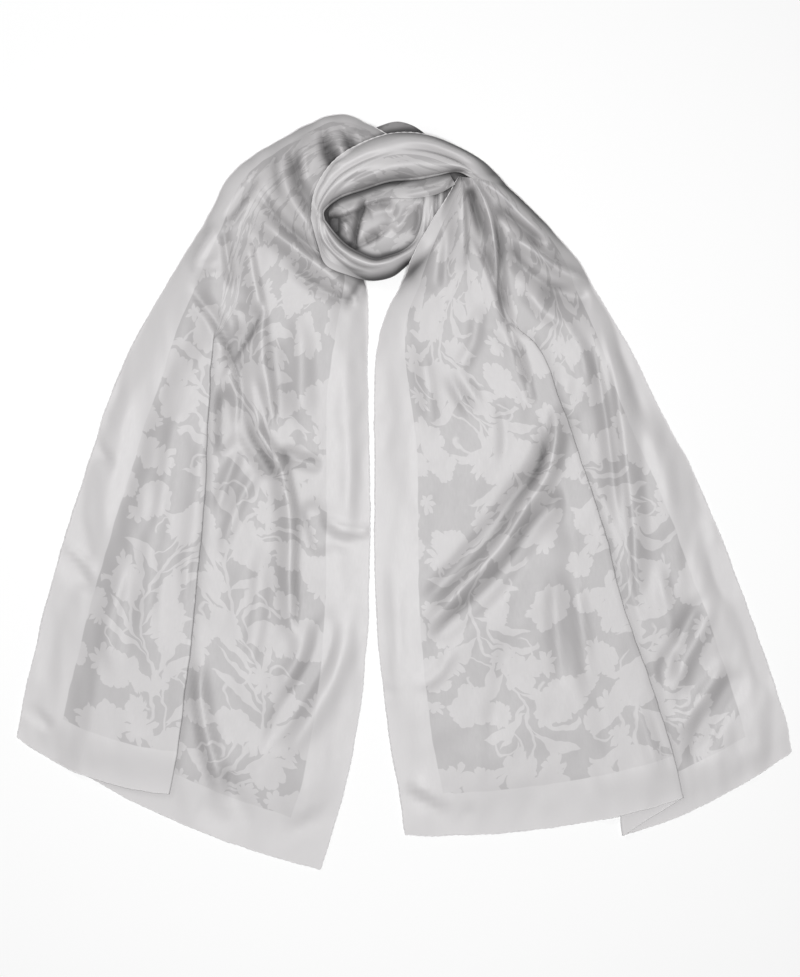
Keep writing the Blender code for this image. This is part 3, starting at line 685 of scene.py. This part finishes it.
def raster_of(plan, height):
    """The top of a stretch on the raster, spread a little beyond its edges and smoothed."""
    top = np.zeros(RASTER_CELLS)
    put_on_raster(top, plan, height + WALL, np.maximum)
    cells = int(BLUR / CELL)
    return blurred(blurred(spread(top, REACH, np.maximum), cells), cells)


def read_raster(field, plan):
    """The raster's value at each plan point, between its cells too."""
    at = (plan - RASTER_LOW) / CELL
    cell = np.floor(at).astype(int)
    x, y = (at - cell)[..., 0], (at - cell)[..., 1]
    column, row = cell[..., 0], cell[..., 1]
    return (
        field[column, row] * (1 - x) * (1 - y)
        + field[column + 1, row] * x * (1 - y)
        + field[column, row + 1] * (1 - x) * y
        + field[column + 1, row + 1] * x * y
    )


def laid_on(plan, loose, stretches, clearance=LAID_ON, share_of_row=None, spare=0.0):
    """Loose heights raised where the cloth lies on the stretches below it."""
    top = read_raster(np.maximum.reduce([raster(name) for name in stretches]), plan)
    wanted = top + clearance + spare
    lift = soft_floor(wanted - loose, 1.0) * smoothstep(top / 3)
    if share_of_row is not None:
        lift = lift * share_of_row[:, None]
    return loose + lift


def joined_to(plan, loose, seam_plan, seam_height):
    """The first rows of a stretch brought to the row that it carries on from."""
    fade = smoothstep(1 - np.arange(len(plan)) / SEAM_ROWS)[:, None]
    plan = plan + (seam_plan - plan[0]) * fade[..., None]
    return plan, loose + (seam_height - loose[0]) * fade


def cloth_of(plan, height, outer_cloth, start):
    """Places on the flat cloth of a strip: from its outer edge inwards, and along it."""
    steps = np.linalg.norm(np.diff(plan, axis=1), axis=2)
    inwards = np.concatenate([np.zeros((len(plan), 1)), np.cumsum(steps, axis=1)], axis=1)
    along = length_along(plan, height)
    return np.stack([outer_cloth - STRIP_GATHERED * inwards, start + along], axis=2)


@cache
def behind():
    """The pass behind the band."""
    plan, loose = strip_points(LOOP_BEHIND, BEHIND_FOLDS, rows=36, across=24)
    return Stretch(plan, loose, cloth_of(plan, loose, outer_cloth=420.0, start=900.0))


@cache
def left_tail():
    """The left tail, over the pass behind the band."""
    plan, layer, loose, cloth = tail_points(LEFT_TAIL, LEFT_FOLDS, seed=3.0)
    return Stretch(plan, laid_on(plan, loose, ["behind"]) + layer, cloth)


@cache
def swirl():
    """The cloth inside the loop."""
    plan, loose = strip_points(SWIRL, SWIRL_FOLDS, rows=90, across=64)
    cloth = cloth_of(plan, loose, outer_cloth=300.0, start=860.0)
    return Stretch(plan, laid_on(plan, loose, ["left_tail"]), cloth)


@cache
def ring():
    """The ring, from the lip round the bottom of the loop."""
    plan, loose = strip_points(RING, RING_FOLDS, STRIP_ROWS, BACK_COLUMNS)
    loose = laid_on(plan, loose, ["left_tail", "swirl"])
    return Stretch(plan, loose, cloth_of(plan, loose, CLOTH_WIDTH, start=800.0))


@cache
def right_tail():
    """The right tail, whose cloth is measured from the other end."""
    plan, layer, loose, cloth = tail_points(RIGHT_TAIL, RIGHT_FOLDS, seed=13.0)
    cloth[..., 1] = CLOTH_LENGTH - cloth[..., 1]
    return Stretch(plan, laid_on(plan, loose, ["behind", "ring", "swirl"]) + layer, cloth)


@cache
def tuck():
    """The short fold between the band and the loop."""
    plan, loose = strip_points(TUCK, TUCK_FOLDS, rows=50, across=24)
    loose = laid_on(plan, loose, ["swirl", "ring", "right_tail"], PRESSED_ON)
    return Stretch(plan, loose, cloth_of(plan, loose, outer_cloth=260.0, start=900.0))


@cache
def band():
    """The band with the ring that carries it on, as one strip from the throat round the loop."""
    tail = right_tail()
    throat = slice(None, -BACK_COLUMNS - 2, -1)
    plan, loose = strip_points(BAND, BAND_FOLDS, STRIP_ROWS, BACK_COLUMNS, SEAM_ROWS)
    plan, loose = joined_to(plan, loose, tail.plan[0, throat], tail.height[0, throat])
    share = smoothstep(np.arange(len(plan)) / SEAM_ROWS)
    spare = np.linspace(0, 1, BACK_COLUMNS + 1) ** 4 * 2 * UNDER_RADIUS
    below = ["behind", "left_tail", "swirl", "right_tail", "tuck"]
    loose = laid_on(plan, loose, below, LAID_ON, share, spare)
    lip = ring()
    plan, loose = joined_to(plan[::-1], loose[::-1], lip.plan[0], lip.height[0])
    plan = np.concatenate([plan[::-1], lip.plan[1:]])
    loose = np.concatenate([loose[::-1], lip.height[1:]])
    start = tail.cloth[0, throat, 1].mean() - length_along(plan, loose)[0].mean()
    cloth = cloth_of(plan, loose, CLOTH_WIDTH, start)
    cloth = np.concatenate([cloth, np.repeat(cloth[:, -1:], UNDER_COLUMNS, axis=1)], axis=1)
    return Stretch(*turned_under(plan, loose), cloth)


@cache
def raster(name):
    """The raster of one stretch, by its name."""
    stretch = STRETCHES[name]()
    return raster_of(stretch.plan, stretch.height)


@cache
def heap():
    """The upmost of the hidden layers, just under all that lies on it."""
    under = np.full(RASTER_CELLS, NOTHING_ABOVE)
    for name in LAID:
        stretch = STRETCHES[name]()
        put_on_raster(under, stretch.plan, stretch.height, np.minimum)
    under = spread(under, UNDER_REACH, np.minimum)
    read = through(HEAP, np.linspace(0, 1, HEAP_ROWS + 1), 4)
    share = np.linspace(0, 1, HEAP_COLUMNS + 1)[None, :, None]
    plan = read[:, None, 0:2] * (1 - share) + read[:, None, 2:4] * share
    top = read_raster(np.where(under == NOTHING_ABOVE, 2 * UNDER_FOLDS, under), plan) - UNDER_FOLDS
    cloth = plan + HEAP_ON_CLOTH
    top -= np.abs(ripple_height(cloth, 14, 30, 2.0, seed=21.0))
    side_fade, end_fade = 8, 12
    sides = smoothstep(side_fade * share[..., 0]) * smoothstep(side_fade * (1 - share[..., 0]))
    along = np.linspace(0, end_fade, HEAP_ROWS + 1)
    ends = smoothstep(along) * smoothstep(along[::-1])
    return Stretch(plan, np.maximum(top, LOWEST) * sides * ends[:, None], cloth)


@cache
def surroundings():
    """How high the shawl reaches close round each place, and how high further round it."""
    near = np.maximum.reduce([raster(name) for name in LAID])
    cells = int(FURTHER / 2 / CELL)
    return near, blurred(blurred(spread(near, FURTHER, np.maximum), cells), cells)


def painted_shade_share(stretch):
    """From 0 on open cloth to 1 deep in a fold or pocket, where little light gets in: the share of
    painted shade.
    """
    near, far = (
        read_raster(field, stretch.plan) - stretch.height - 2 * WALL for field in surroundings()
    )
    open_far = 1 - FURTHER_SHARE * smoothstep((far - DEEPER_FROM) / DEEPER)
    return 1 - (1 - smoothstep(near / DEEP)) * open_far


LAID = ["behind", "left_tail", "swirl", "ring", "right_tail", "tuck", "band"]
STRETCHES = {
    "heap": heap, "behind": behind, "left_tail": left_tail, "swirl": swirl, "ring": ring,
    "right_tail": right_tail, "tuck": tuck, "band": band,
}


class Value:
    """A number, vector or colour in a material, for use in Python's sums."""

    def __init__(self, finish, socket):
        self.finish = finish
        self.socket = socket

    def __add__(self, other):
        return self.finish.maths("ADD", self, other)

    def __radd__(self, other):
        return self.finish.maths("ADD", other, self)

    def __sub__(self, other):
        return self.finish.maths("SUBTRACT", self, other)

    def __rsub__(self, other):
        return self.finish.maths("SUBTRACT", other, self)

    def __mul__(self, other):
        return self.finish.maths("MULTIPLY", self, other)

    def __rmul__(self, other):
        return self.finish.maths("MULTIPLY", other, self)

    def __truediv__(self, other):
        return self.finish.maths("DIVIDE", self, other)

    def __pow__(self, other):
        return self.finish.maths("POWER", self, other)

    def __abs__(self):
        return self.finish.maths("ABSOLUTE", self)


class Finish:
    """A material, and the methods that add its nodes."""

    def __init__(self, name):
        self.material = bpy.data.materials.new(name)
        self.material.use_nodes = True
        self.tree = self.material.node_tree
        self.shader = self.tree.nodes["Principled BSDF"]

    def node(self, kind, settings=None, inputs=None, output=0):
        """Adds a node with its settings and the values or links of its sockets."""
        node = self.tree.nodes.new(kind)
        for name, value in (settings or {}).items():
            setattr(node, name, value)
        for socket, value in (inputs or {}).items():
            self.feed(node.inputs[socket], value)
        return Value(self, node.outputs[output])

    def feed(self, socket, value):
        """Links a value of the material to a socket, or sets a plain one."""
        if isinstance(value, Value):
            self.tree.links.new(value.socket, socket)
        else:
            socket.default_value = value

    def maths(self, operation, *values):
        """A sum of one or more values."""
        return self.node("ShaderNodeMath", {"operation": operation}, dict(enumerate(values)))

    def inside(self, depth, softness):
        """1 where the depth in metres is over zero, 0 where it is under, with a soft edge."""
        settings = {"operation": "MULTIPLY_ADD", "use_clamp": True}
        return self.node("ShaderNodeMath", settings, {0: depth, 1: 1 / softness, 2: 0.5})

    def highest(self, values):
        """The highest of several values."""
        result = values[0]
        for value in values[1:]:
            result = self.maths("MAXIMUM", result, value)
        return result

    def parts(self, vector):
        """The three parts of a vector."""
        first = self.node("ShaderNodeSeparateXYZ", inputs={0: vector})
        outputs = first.socket.node.outputs
        return tuple(Value(self, output) for output in outputs)

    def mix(self, share, first, second):
        """Two colours mixed."""
        inputs = {0: share, 6: first, 7: second}
        return self.node("ShaderNodeMix", {"data_type": "RGBA"}, inputs, output=2)


# The pattern, in metres on the flat cloth: its border, soft edges, stems and the wobble of all lines
BORDER = 0.052
EDGE = 0.0012
REPEAT = 0.30
STEM_STEP = (0.001 * CLOTH_WIDTH - 2 * BORDER) / 3
STEM_SWING = 0.030
STEM_HALF = 0.0020
CURL_AT, CURL_RADIUS, CURL_HALF = 0.034, 0.015, 0.0014
ARC_AT, ARC_RADIUS, ARC_HALF, ARC_TAPER = 0.044, 0.030, 0.0008, 0.035
WOBBLE, WOBBLE_SCALE = 0.022, 26.0

# The weave, in metres and threads a metre, and the painted shade mixed into the silk deep in a fold
TWILL = 0.0009
THREADS = (900.0, 90.0, 1.0)
PAINTED_SHADE_TONE = (0.02, 0.019, 0.02, 1.0)

FlowerRows = namedtuple("FlowerRows", "step shift radius spread drift petals scallop roundness")
FLOWER_ROWS = [
    FlowerRows(0.100, (0.052, 0.000), 0.027, 0.007, 0.018, 5, 0.20, 0.5),
    FlowerRows(0.100, (0.100, 0.047), 0.020, 0.006, 0.022, 5, 0.32, 0.7),
    FlowerRows(0.064, (0.020, 0.033), 0.016, 0.006, 0.014, 6, 0.50, 0.9),
    FlowerRows(0.100, (0.004, 0.010), 0.017, 0.004, 0.016, 6, 0.16, 0.6),
]


def flower_mask(finish, across, along, rows, number):
    """Flowers seen from above, one in each cell, each with its own place, size and petals."""
    cell_across = finish.maths("FLOOR", (across + rows.shift[0]) / rows.step)
    cell_along = finish.maths("FLOOR", (along + rows.shift[1]) / rows.step)
    cell = finish.node(
        "ShaderNodeCombineXYZ", inputs={0: cell_across, 1: cell_along, 2: float(number)}
    )
    lot = finish.node("ShaderNodeTexWhiteNoise", {"noise_dimensions": "3D"}, {0: cell}, output=1)
    first, second, third = finish.parts(lot)
    x = across + rows.shift[0] - (cell_across + 0.5) * rows.step - (first - 0.5) * 2 * rows.drift
    y = along + rows.shift[1] - (cell_along + 0.5) * rows.step - (second - 0.5) * 2 * rows.drift
    distance = finish.maths("SQRT", x * x + y * y)
    angle = finish.maths("ARCTAN2", y, x)
    petals = finish.maths("FLOOR", third * 2.99) + rows.petals
    petal = abs(finish.maths("COSINE", (angle + first * 3.0) * petals * 0.5))
    frill = abs(finish.maths("COSINE", (angle + first * 3.0) * petals * 1.5)) * 0.07
    size = (second + first - 1.0) * rows.spread + rows.radius
    reach = (petal ** rows.roundness * rows.scallop + frill + (0.93 - rows.scallop)) * size
    return finish.inside(reach - distance, EDGE)


def stem_masks(finish, across, along):
    """Three winding stems, with slender curved leaves on both sides and curled tendrils."""
    stem = finish.maths("FLOOR", (across - BORDER) / STEM_STEP)
    turn = along * (2 * np.pi / REPEAT) + stem * 2.3
    middle = (stem + 0.5) * STEM_STEP + BORDER
    beside = across - middle - finish.maths("SINE", turn) * STEM_SWING
    out = abs(beside)
    line = finish.inside(STEM_HALF - out, EDGE)

    side = finish.maths("SIGN", beside)
    leaves = []
    for step, phase, length, width, slope in (
        (REPEAT / 6, 0.010, 0.062, 0.0078, 0.9),
        (REPEAT / 5, 0.035, 0.046, 0.0062, 1.6),
    ):
        down = finish.maths("WRAP", along + side * (step / 4) + phase, step, 0.0)
        tip = out / length
        bend = out * slope - out * tip * 0.45
        belly = finish.maths("SINE", finish.maths("MINIMUM", tip, 1.0) * np.pi) * width
        leaves.append(finish.inside(belly - abs(down - bend - 0.006) - 0.0004, EDGE))

    curl_x = out - CURL_AT
    curl_y = finish.maths("WRAP", along + side * (REPEAT / 16), REPEAT / 8, -REPEAT / 8)
    curl_at = finish.maths("SQRT", curl_x * curl_x + curl_y * curl_y)
    curl = finish.inside(CURL_HALF - abs(curl_at - CURL_RADIUS), EDGE)
    curl = curl * finish.inside(curl_y + curl_x * 0.5 + 0.006, 0.004)

    arc_x = out - ARC_AT
    arc_y = finish.maths("WRAP", along + side * (REPEAT / 12) + 0.02, REPEAT / 6, -REPEAT / 6)
    arc_at = finish.maths("SQRT", arc_x * arc_x + arc_y * arc_y)
    taper = (arc_y + 0.034) * ARC_TAPER
    arc = finish.inside(taper - abs(arc_at - ARC_RADIUS) + ARC_HALF, EDGE)
    arc = arc * finish.inside(arc_y * 0.6 - arc_x + 0.004, 0.003)
    return finish.highest([line, *leaves, curl, arc])


def pattern(finish, cloth, across, along, settings):
    """The tones of the printed silk: a pale border, and a darker field with pale flowers."""
    wobble = finish.node(
        "ShaderNodeTexNoise",
        {"noise_dimensions": "2D"},
        {"Vector": cloth, "Scale": WOBBLE_SCALE, "Detail": 2.0, "Roughness": 0.6},
        output=1,
    )
    shift = finish.parts(wobble)
    drawn_across = across + (shift[0] - 0.5) * WOBBLE
    drawn_along = along + (shift[1] - 0.5) * WOBBLE
    masks = [
        flower_mask(finish, drawn_across, drawn_along, rows, number)
        for number, rows in enumerate(FLOWER_ROWS)
    ]
    masks.append(stem_masks(finish, drawn_across, drawn_along))
    flowers = finish.highest(masks)
    half_width = 0.0005 * CLOTH_WIDTH
    half_length = 0.0005 * CLOTH_LENGTH
    from_side = half_width - BORDER - abs(across - half_width)
    from_end = half_length - BORDER - abs(along - half_length)
    field = finish.inside(finish.maths("MINIMUM", from_side, from_end), EDGE)
    ground = finish.mix(flowers, (*settings.field, 1.0), (*settings.flower, 1.0))
    return finish.mix(field, (*settings.border, 1.0), ground)


def silk_finish(name, settings, patterned):
    """Silk satin with a fine weave and a soft gloss, with painted shade deep in its folds, where it is
    also duller.
    """
    finish = Finish(name)
    cloth = finish.node("ShaderNodeUVMap", {"uv_map": "cloth"})
    across, along, _ = finish.parts(cloth)
    threads = finish.node(
        "ShaderNodeVectorMath", {"operation": "MULTIPLY"}, {0: cloth, 1: THREADS}
    )
    slub = finish.node(
        "ShaderNodeTexNoise",
        {"noise_dimensions": "2D"},
        {"Vector": threads, "Scale": 1.0, "Detail": 2.0},
    )
    weave = slub + finish.maths("SINE", (across + along) * (2 * np.pi / TWILL)) * 0.15
    bump = finish.node(
        "ShaderNodeBump", inputs={"Height": weave, "Strength": 0.12, "Distance": 0.0004}
    )
    # The hem's plain tone, with a painted highlight on the roll.
    shade = (*settings.hem, 1.0)
    roughness = slub * 0.10 + (settings.roughness - 0.05)
    if patterned:
        # Painted shade: the depth map mixes a dark tone into the silk's colour deep in folds and
        # pockets, and makes it duller there.
        depth = finish.parts(finish.node("ShaderNodeUVMap", {"uv_map": "depth"}))[0]
        shade = pattern(finish, cloth, across, along, settings)
        shade = finish.mix(depth * settings.painted_shade_strength, shade, PAINTED_SHADE_TONE)
        roughness = roughness + depth * 0.4
    for socket, value in (("Base Color", shade), ("Roughness", roughness), ("Normal", bump)):
        finish.feed(finish.shader.inputs[socket], value)
    finish.shader.inputs["Specular IOR Level"].default_value = settings.gloss
    return finish.material


def silk(settings, patterned=True):
    """The silk, or the plain silk of its hems, made the first time that it is asked for."""
    name = "shawl_silk" if patterned else "shawl_hem_silk"
    return bpy.data.materials.get(name) or silk_finish(name, settings, patterned)


def deselect_all():
    """Leaves nothing selected."""
    for obj in bpy.context.selected_objects:
        obj.select_set(False)


def grid_piece(name, stretch, thickness, material):
    """A grid primitive set on a stretch's points, with its cloth places and a thin wall."""
    rows, columns = stretch.height.shape
    deselect_all()
    bpy.ops.mesh.primitive_grid_add(x_subdivisions=columns - 1, y_subdivisions=rows - 1, size=2)
    piece = bpy.context.object
    piece.name = piece.data.name = name
    mesh = piece.data
    flat = np.empty(len(mesh.vertices) * 3)
    mesh.vertices.foreach_get("co", flat)
    flat = flat.reshape(-1, 3)
    column = np.rint((flat[:, 0] + 1) / 2 * (columns - 1)).astype(int)
    row = np.rint((1 - flat[:, 1]) / 2 * (rows - 1)).astype(int)
    middle = stretch.height[row, column] + WALL / 2
    points = np.column_stack([stretch.plan[row, column], middle]) * MM
    mesh.vertices.foreach_set("co", points.ravel())
    corners = np.empty(len(mesh.loops), int)
    mesh.loops.foreach_get("vertex_index", corners)
    places = stretch.cloth[row, column][corners] * MM
    mesh.uv_layers[0].name = "cloth"
    mesh.uv_layers[0].data.foreach_set("uv", places.ravel())
    # The depth map: the share of painted shade at each place, deep in folds and pockets.
    depth = painted_shade_share(stretch)[row, column][corners]
    mesh.uv_layers.new(name="depth").data.foreach_set("uv", np.repeat(depth, 2))
    mesh.shade_smooth()
    mesh.update()
    mesh.materials.append(material)
    if thickness:
        give_wall(piece, thickness)
    return piece


def give_wall(piece, thickness):
    """Gives an open sheet a wall on both sides of its middle."""
    bpy.context.view_layer.objects.active = piece
    wall = piece.modifiers.new("wall", "SOLIDIFY")
    wall.thickness = thickness
    wall.offset = 0.0
    bpy.ops.object.modifier_apply(modifier=wall.name)
    piece.data.set_sharp_from_angle(angle=RIM_ANGLE)


def joined(pieces, name):
    """Several pieces as one, with their shared edges merged."""
    deselect_all()
    for piece in pieces:
        piece.select_set(True)
    bpy.context.view_layer.objects.active = pieces[0]
    bpy.ops.object.join()
    bpy.ops.object.mode_set(mode="EDIT")
    bpy.ops.mesh.select_all(action="SELECT")
    bpy.ops.mesh.remove_doubles(threshold=0.02 * MM)
    bpy.ops.object.mode_set(mode="OBJECT")
    pieces[0].name = pieces[0].data.name = name
    return pieces[0]


def hem_piece(name, path, radius, stitch, material):
    """A rolled hem: a thin tube along an edge, drawn in a little at each stitch."""
    steps = np.linalg.norm(np.diff(path, axis=0), axis=1)
    travelled = np.concatenate([[0.0], np.cumsum(steps)])
    count = int(travelled[-1] / (stitch / POINTS_A_STITCH))
    even = np.linspace(0, travelled[-1], count)
    points = np.column_stack([np.interp(even, travelled, path[:, axis]) for axis in range(3)])
    pull = (np.cos(np.arange(count) * np.pi / 2) - 1) * DRAWN_IN
    thick = np.array([noise.noise(Vector((place / 30, 5.0, 0.0))) for place in even]) * 0.15
    size = radius * (0.9 + pull + thick)
    size[:3] *= (0.3, 0.6, 0.9)
    size[-3:] *= (0.9, 0.6, 0.3)
    curve = bpy.data.curves.new(name, "CURVE")
    curve.dimensions = "3D"
    curve.bevel_depth = MM
    curve.bevel_resolution = 2
    curve.use_fill_caps = True
    spline = curve.splines.new("POLY")
    spline.points.add(count - 1)
    for point, place, value in zip(spline.points, points, size):
        point.co = (*(place * MM), 1.0)
        point.radius = value
    piece = bpy.data.objects.new(name, curve)
    bpy.context.collection.objects.link(piece)
    deselect_all()
    piece.select_set(True)
    bpy.context.view_layer.objects.active = piece
    bpy.ops.object.convert(target="MESH")
    piece = bpy.context.object
    layers = piece.data.uv_layers
    places = layers[0] if layers else layers.new()
    places.name = "cloth"
    piece.data.shade_smooth()
    piece.data.materials.append(material)
    return piece


def edge_of(stretch, row, column, radius):
    """Points along one row or column of a stretch, at the middle of its cloth."""
    height = np.maximum(stretch.height[row, column] + WALL / 2, radius)
    return np.column_stack([stretch.plan[row, column], height])


def finish_piece(piece, nodes):
    """Lets a piece ride with the shawl and stand for its solids."""
    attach(piece, "root")
    if nodes:
        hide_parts(*nodes)


class ShawlCloth(bpy.types.PropertyGroup):
    """Sizes and colours of the silk."""

    thickness: bpy.props.FloatProperty(
        name="Cloth", description="Thickness of the cloth", default=0.0004, unit="LENGTH"
    )
    hem_radius: bpy.props.FloatProperty(
        name="Hem", description="Radius of the rolled hem, in millimetres", default=1.0
    )
    stitch: bpy.props.FloatProperty(
        name="Stitch", description="Length of a hem stitch, in millimetres", default=8.0
    )
    border: bpy.props.FloatVectorProperty(
        name="Border", description="Tone of the border", default=(0.556, 0.543, 0.547),
        subtype="COLOR",
    )
    field: bpy.props.FloatVectorProperty(
        name="Field", description="Tone of the field", default=(0.402, 0.391, 0.395),
        subtype="COLOR",
    )
    flower: bpy.props.FloatVectorProperty(
        name="Flowers", description="Tone of the flowers", default=(0.510, 0.497, 0.501),
        subtype="COLOR",
    )
    # The hem's tone is lighter than the border silk it is rolled from: a painted highlight on the roll.
    hem: bpy.props.FloatVectorProperty(
        name="Hem tone", description="Tone of the rolled hem", default=(0.66, 0.646, 0.65),
        subtype="COLOR",
    )
    # The strength of the painted shade mixed into the silk deep in its folds and pockets.
    painted_shade_strength: bpy.props.FloatProperty(
        name="Dimming", description="How much darker the silk is deep in its folds",
        default=0.92, subtype="FACTOR",
    )
    roughness: bpy.props.FloatProperty(
        name="Roughness", description="Roughness of the satin", default=0.49, subtype="FACTOR"
    )
    gloss: bpy.props.FloatProperty(
        name="Gloss", description="Specular level of the satin", default=0.7, subtype="FACTOR"
    )


class ShawlStage(bpy.types.PropertyGroup):
    """The floor, the camera and the studio lights."""

    lens: bpy.props.FloatProperty(
        name="Lens", description="Focal length in millimetres", default=85.0
    )
    view_middle: bpy.props.FloatVectorProperty(
        name="View", description="Middle of the picture on the floor", default=(-0.0048, 0.003),
        size=2, unit="LENGTH",
    )
    view_height: bpy.props.FloatProperty(
        name="Height", description="Height of the picture on the floor", default=1.1724,
        unit="LENGTH",
    )
    key: bpy.props.FloatProperty(
        name="Key", description="Power of the key light", default=108.0, unit="POWER"
    )
    side: bpy.props.FloatProperty(
        name="Side", description="Power of the side light", default=9.0, unit="POWER"
    )
    ambient: bpy.props.FloatProperty(
        name="Ambient", description="Strength of the light from all round", default=0.12
    )


class SHAWL_OT_left_tail(bpy.types.Operator):
    """Lays the left tail over the pass behind the loop, with its hem"""

    bl_idname = "shawl.left_tail"
    bl_label = "Left tail"

    def execute(self, context):
        settings = context.scene.shawl_cloth
        tail = left_tail()
        piece = grid_piece("left_tail_cloth", tail, settings.thickness, silk(settings))
        radius = settings.hem_radius
        path = np.concatenate([
            edge_of(tail, slice(None), 0, radius),
            edge_of(tail, -1, slice(1, -1), radius),
            edge_of(tail, slice(None, None, -1), -1, radius),
        ])
        hem = hem_piece("left_tail_hem", path, radius, settings.stitch, silk(settings, patterned=False))
        finish_piece(piece, ["left_tail"])
        finish_piece(hem, [])
        return {"FINISHED"}


class SHAWL_OT_right_tail(bpy.types.Operator):
    """Lays the right tail with the band and the ring that carry it on, and its hem"""

    bl_idname = "shawl.right_tail"
    bl_label = "Right tail, band and ring"

    def execute(self, context):
        settings = context.scene.shawl_cloth
        tail, strip = right_tail(), band()
        pieces = [
            grid_piece("right_tail_cloth", tail, 0, silk(settings)),
            grid_piece("band_cloth", strip, 0, silk(settings)),
        ]
        piece = joined(pieces, "right_tail_cloth")
        give_wall(piece, settings.thickness)
        radius = settings.hem_radius
        path = np.concatenate([
            edge_of(tail, slice(None), 0, radius),
            edge_of(tail, -1, slice(1, -1), radius),
            edge_of(tail, slice(None, 0, -1), -1, radius),
            edge_of(strip, slice(None, STRIP_ROWS - 2), 0, radius),
        ])
        hem = hem_piece("right_tail_hem", path, radius, settings.stitch, silk(settings, patterned=False))
        finish_piece(piece, ["right_tail", "band", "ring"])
        finish_piece(hem, [])
        return {"FINISHED"}


class SHAWL_OT_loop(bpy.types.Operator):
    """Lays the cloth that shows in and behind the loop"""

    bl_idname = "shawl.loop"
    bl_label = "Inside and behind the loop"

    def execute(self, context):
        settings = context.scene.shawl_cloth
        for name, node, flat in (
            ("swirl", "inner_swirl", (0.12, 0.09)),
            ("tuck", "tuck", (0.08, 0.03)),
            ("behind", "loop_behind", (0.10, 0.05)),
        ):
            stretch = STRETCHES[name]()
            piece = grid_piece(node + "_cloth", stretch, settings.thickness, silk(settings))
            finish_piece(piece, [node])
        return {"FINISHED"}


class SHAWL_OT_hidden_layers(bpy.types.Operator):
    """Lays the upmost of the hidden layers on their heap, where it shows through the gaps"""

    bl_idname = "shawl.hidden_layers"
    bl_label = "Hidden layers"

    def execute(self, context):
        settings = context.scene.shawl_cloth
        name = "hidden_layers_cloth"
        piece = grid_piece(name, heap(), settings.thickness, silk(settings))
        finish_piece(piece, ["hidden_layers"])
        return {"FINISHED"}


class SHAWL_OT_stage(bpy.types.Operator):
    """Adds the floor, the studio lights and the camera"""

    bl_idname = "shawl.stage"
    bl_label = "Stage"

    def execute(self, context):
        settings = context.scene.shawl_stage
        deselect_all()
        bpy.ops.mesh.primitive_plane_add(size=8.0, location=(0, 0, -0.0002))
        floor = context.object
        floor.name = "floor"
        paper = Finish("paper")
        paper.shader.inputs["Base Color"].default_value = (0.95, 0.95, 0.95, 1.0)
        paper.shader.inputs["Roughness"].default_value = 0.9
        floor.data.materials.append(paper.material)

        for name, place, size, power in (
            ("key_light", (-0.06, 0.04, 3.4), 1.5, settings.key),
            ("side_light", (-2.0, 1.7, 1.5), 1.0, settings.side),
        ):
            data = bpy.data.lights.new(name, "AREA")
            data.shape = "DISK"
            data.size = size
            data.energy = power
            light = bpy.data.objects.new(name, data)
            context.collection.objects.link(light)
            light.location = place
            light.rotation_euler = (-Vector(place)).to_track_quat("-Z", "Y").to_euler()

        world = bpy.data.worlds.new("studio")
        world.use_nodes = True
        world.node_tree.nodes["Background"].inputs["Color"].default_value = (1, 1, 1, 1)
        world.node_tree.nodes["Background"].inputs["Strength"].default_value = settings.ambient
        context.scene.world = world
        context.scene.view_settings.view_transform = "Standard"

        data = bpy.data.cameras.new("camera")
        data.lens = settings.lens
        camera = bpy.data.objects.new("camera", data)
        context.collection.objects.link(camera)
        distance = settings.view_height * data.lens / data.sensor_width
        camera.location = (*settings.view_middle, distance)
        context.scene.camera = camera
        return {"FINISHED"}


class SHAWL_PT_panel(bpy.types.Panel):
    """The shawl's pieces and settings"""

    bl_idname = "SHAWL_PT_panel"
    bl_label = "Silk shawl"
    bl_space_type = "VIEW_3D"
    bl_region_type = "UI"
    bl_category = "Shawl"

    def draw(self, context):
        for operator in PIECES:
            self.layout.operator(operator.bl_idname)
        for group in (context.scene.shawl_cloth, context.scene.shawl_stage):
            for name in group.__annotations__:
                self.layout.prop(group, name)


PIECES = (
    SHAWL_OT_left_tail,
    SHAWL_OT_right_tail,
    SHAWL_OT_loop,
    SHAWL_OT_hidden_layers,
    SHAWL_OT_stage,
)
CLASSES = (ShawlCloth, ShawlStage, *PIECES, SHAWL_PT_panel)


def register():
    """Adds the panel, the operators and the settings to Blender."""
    for item in CLASSES:
        bpy.utils.register_class(item)
    bpy.types.Scene.shawl_cloth = bpy.props.PointerProperty(type=ShawlCloth)
    bpy.types.Scene.shawl_stage = bpy.props.PointerProperty(type=ShawlStage)


def unregister():
    """Takes them away again."""
    del bpy.types.Scene.shawl_stage
    del bpy.types.Scene.shawl_cloth
    for item in reversed(CLASSES):
        bpy.utils.unregister_class(item)


def main():
    """Builds the whole scene."""
    register()
    bpy.ops.shawl.left_tail()
    bpy.ops.shawl.right_tail()
    bpy.ops.shawl.loop()
    bpy.ops.shawl.hidden_layers()
    bpy.ops.shawl.stage()


if __name__ == "__main__":
    main()
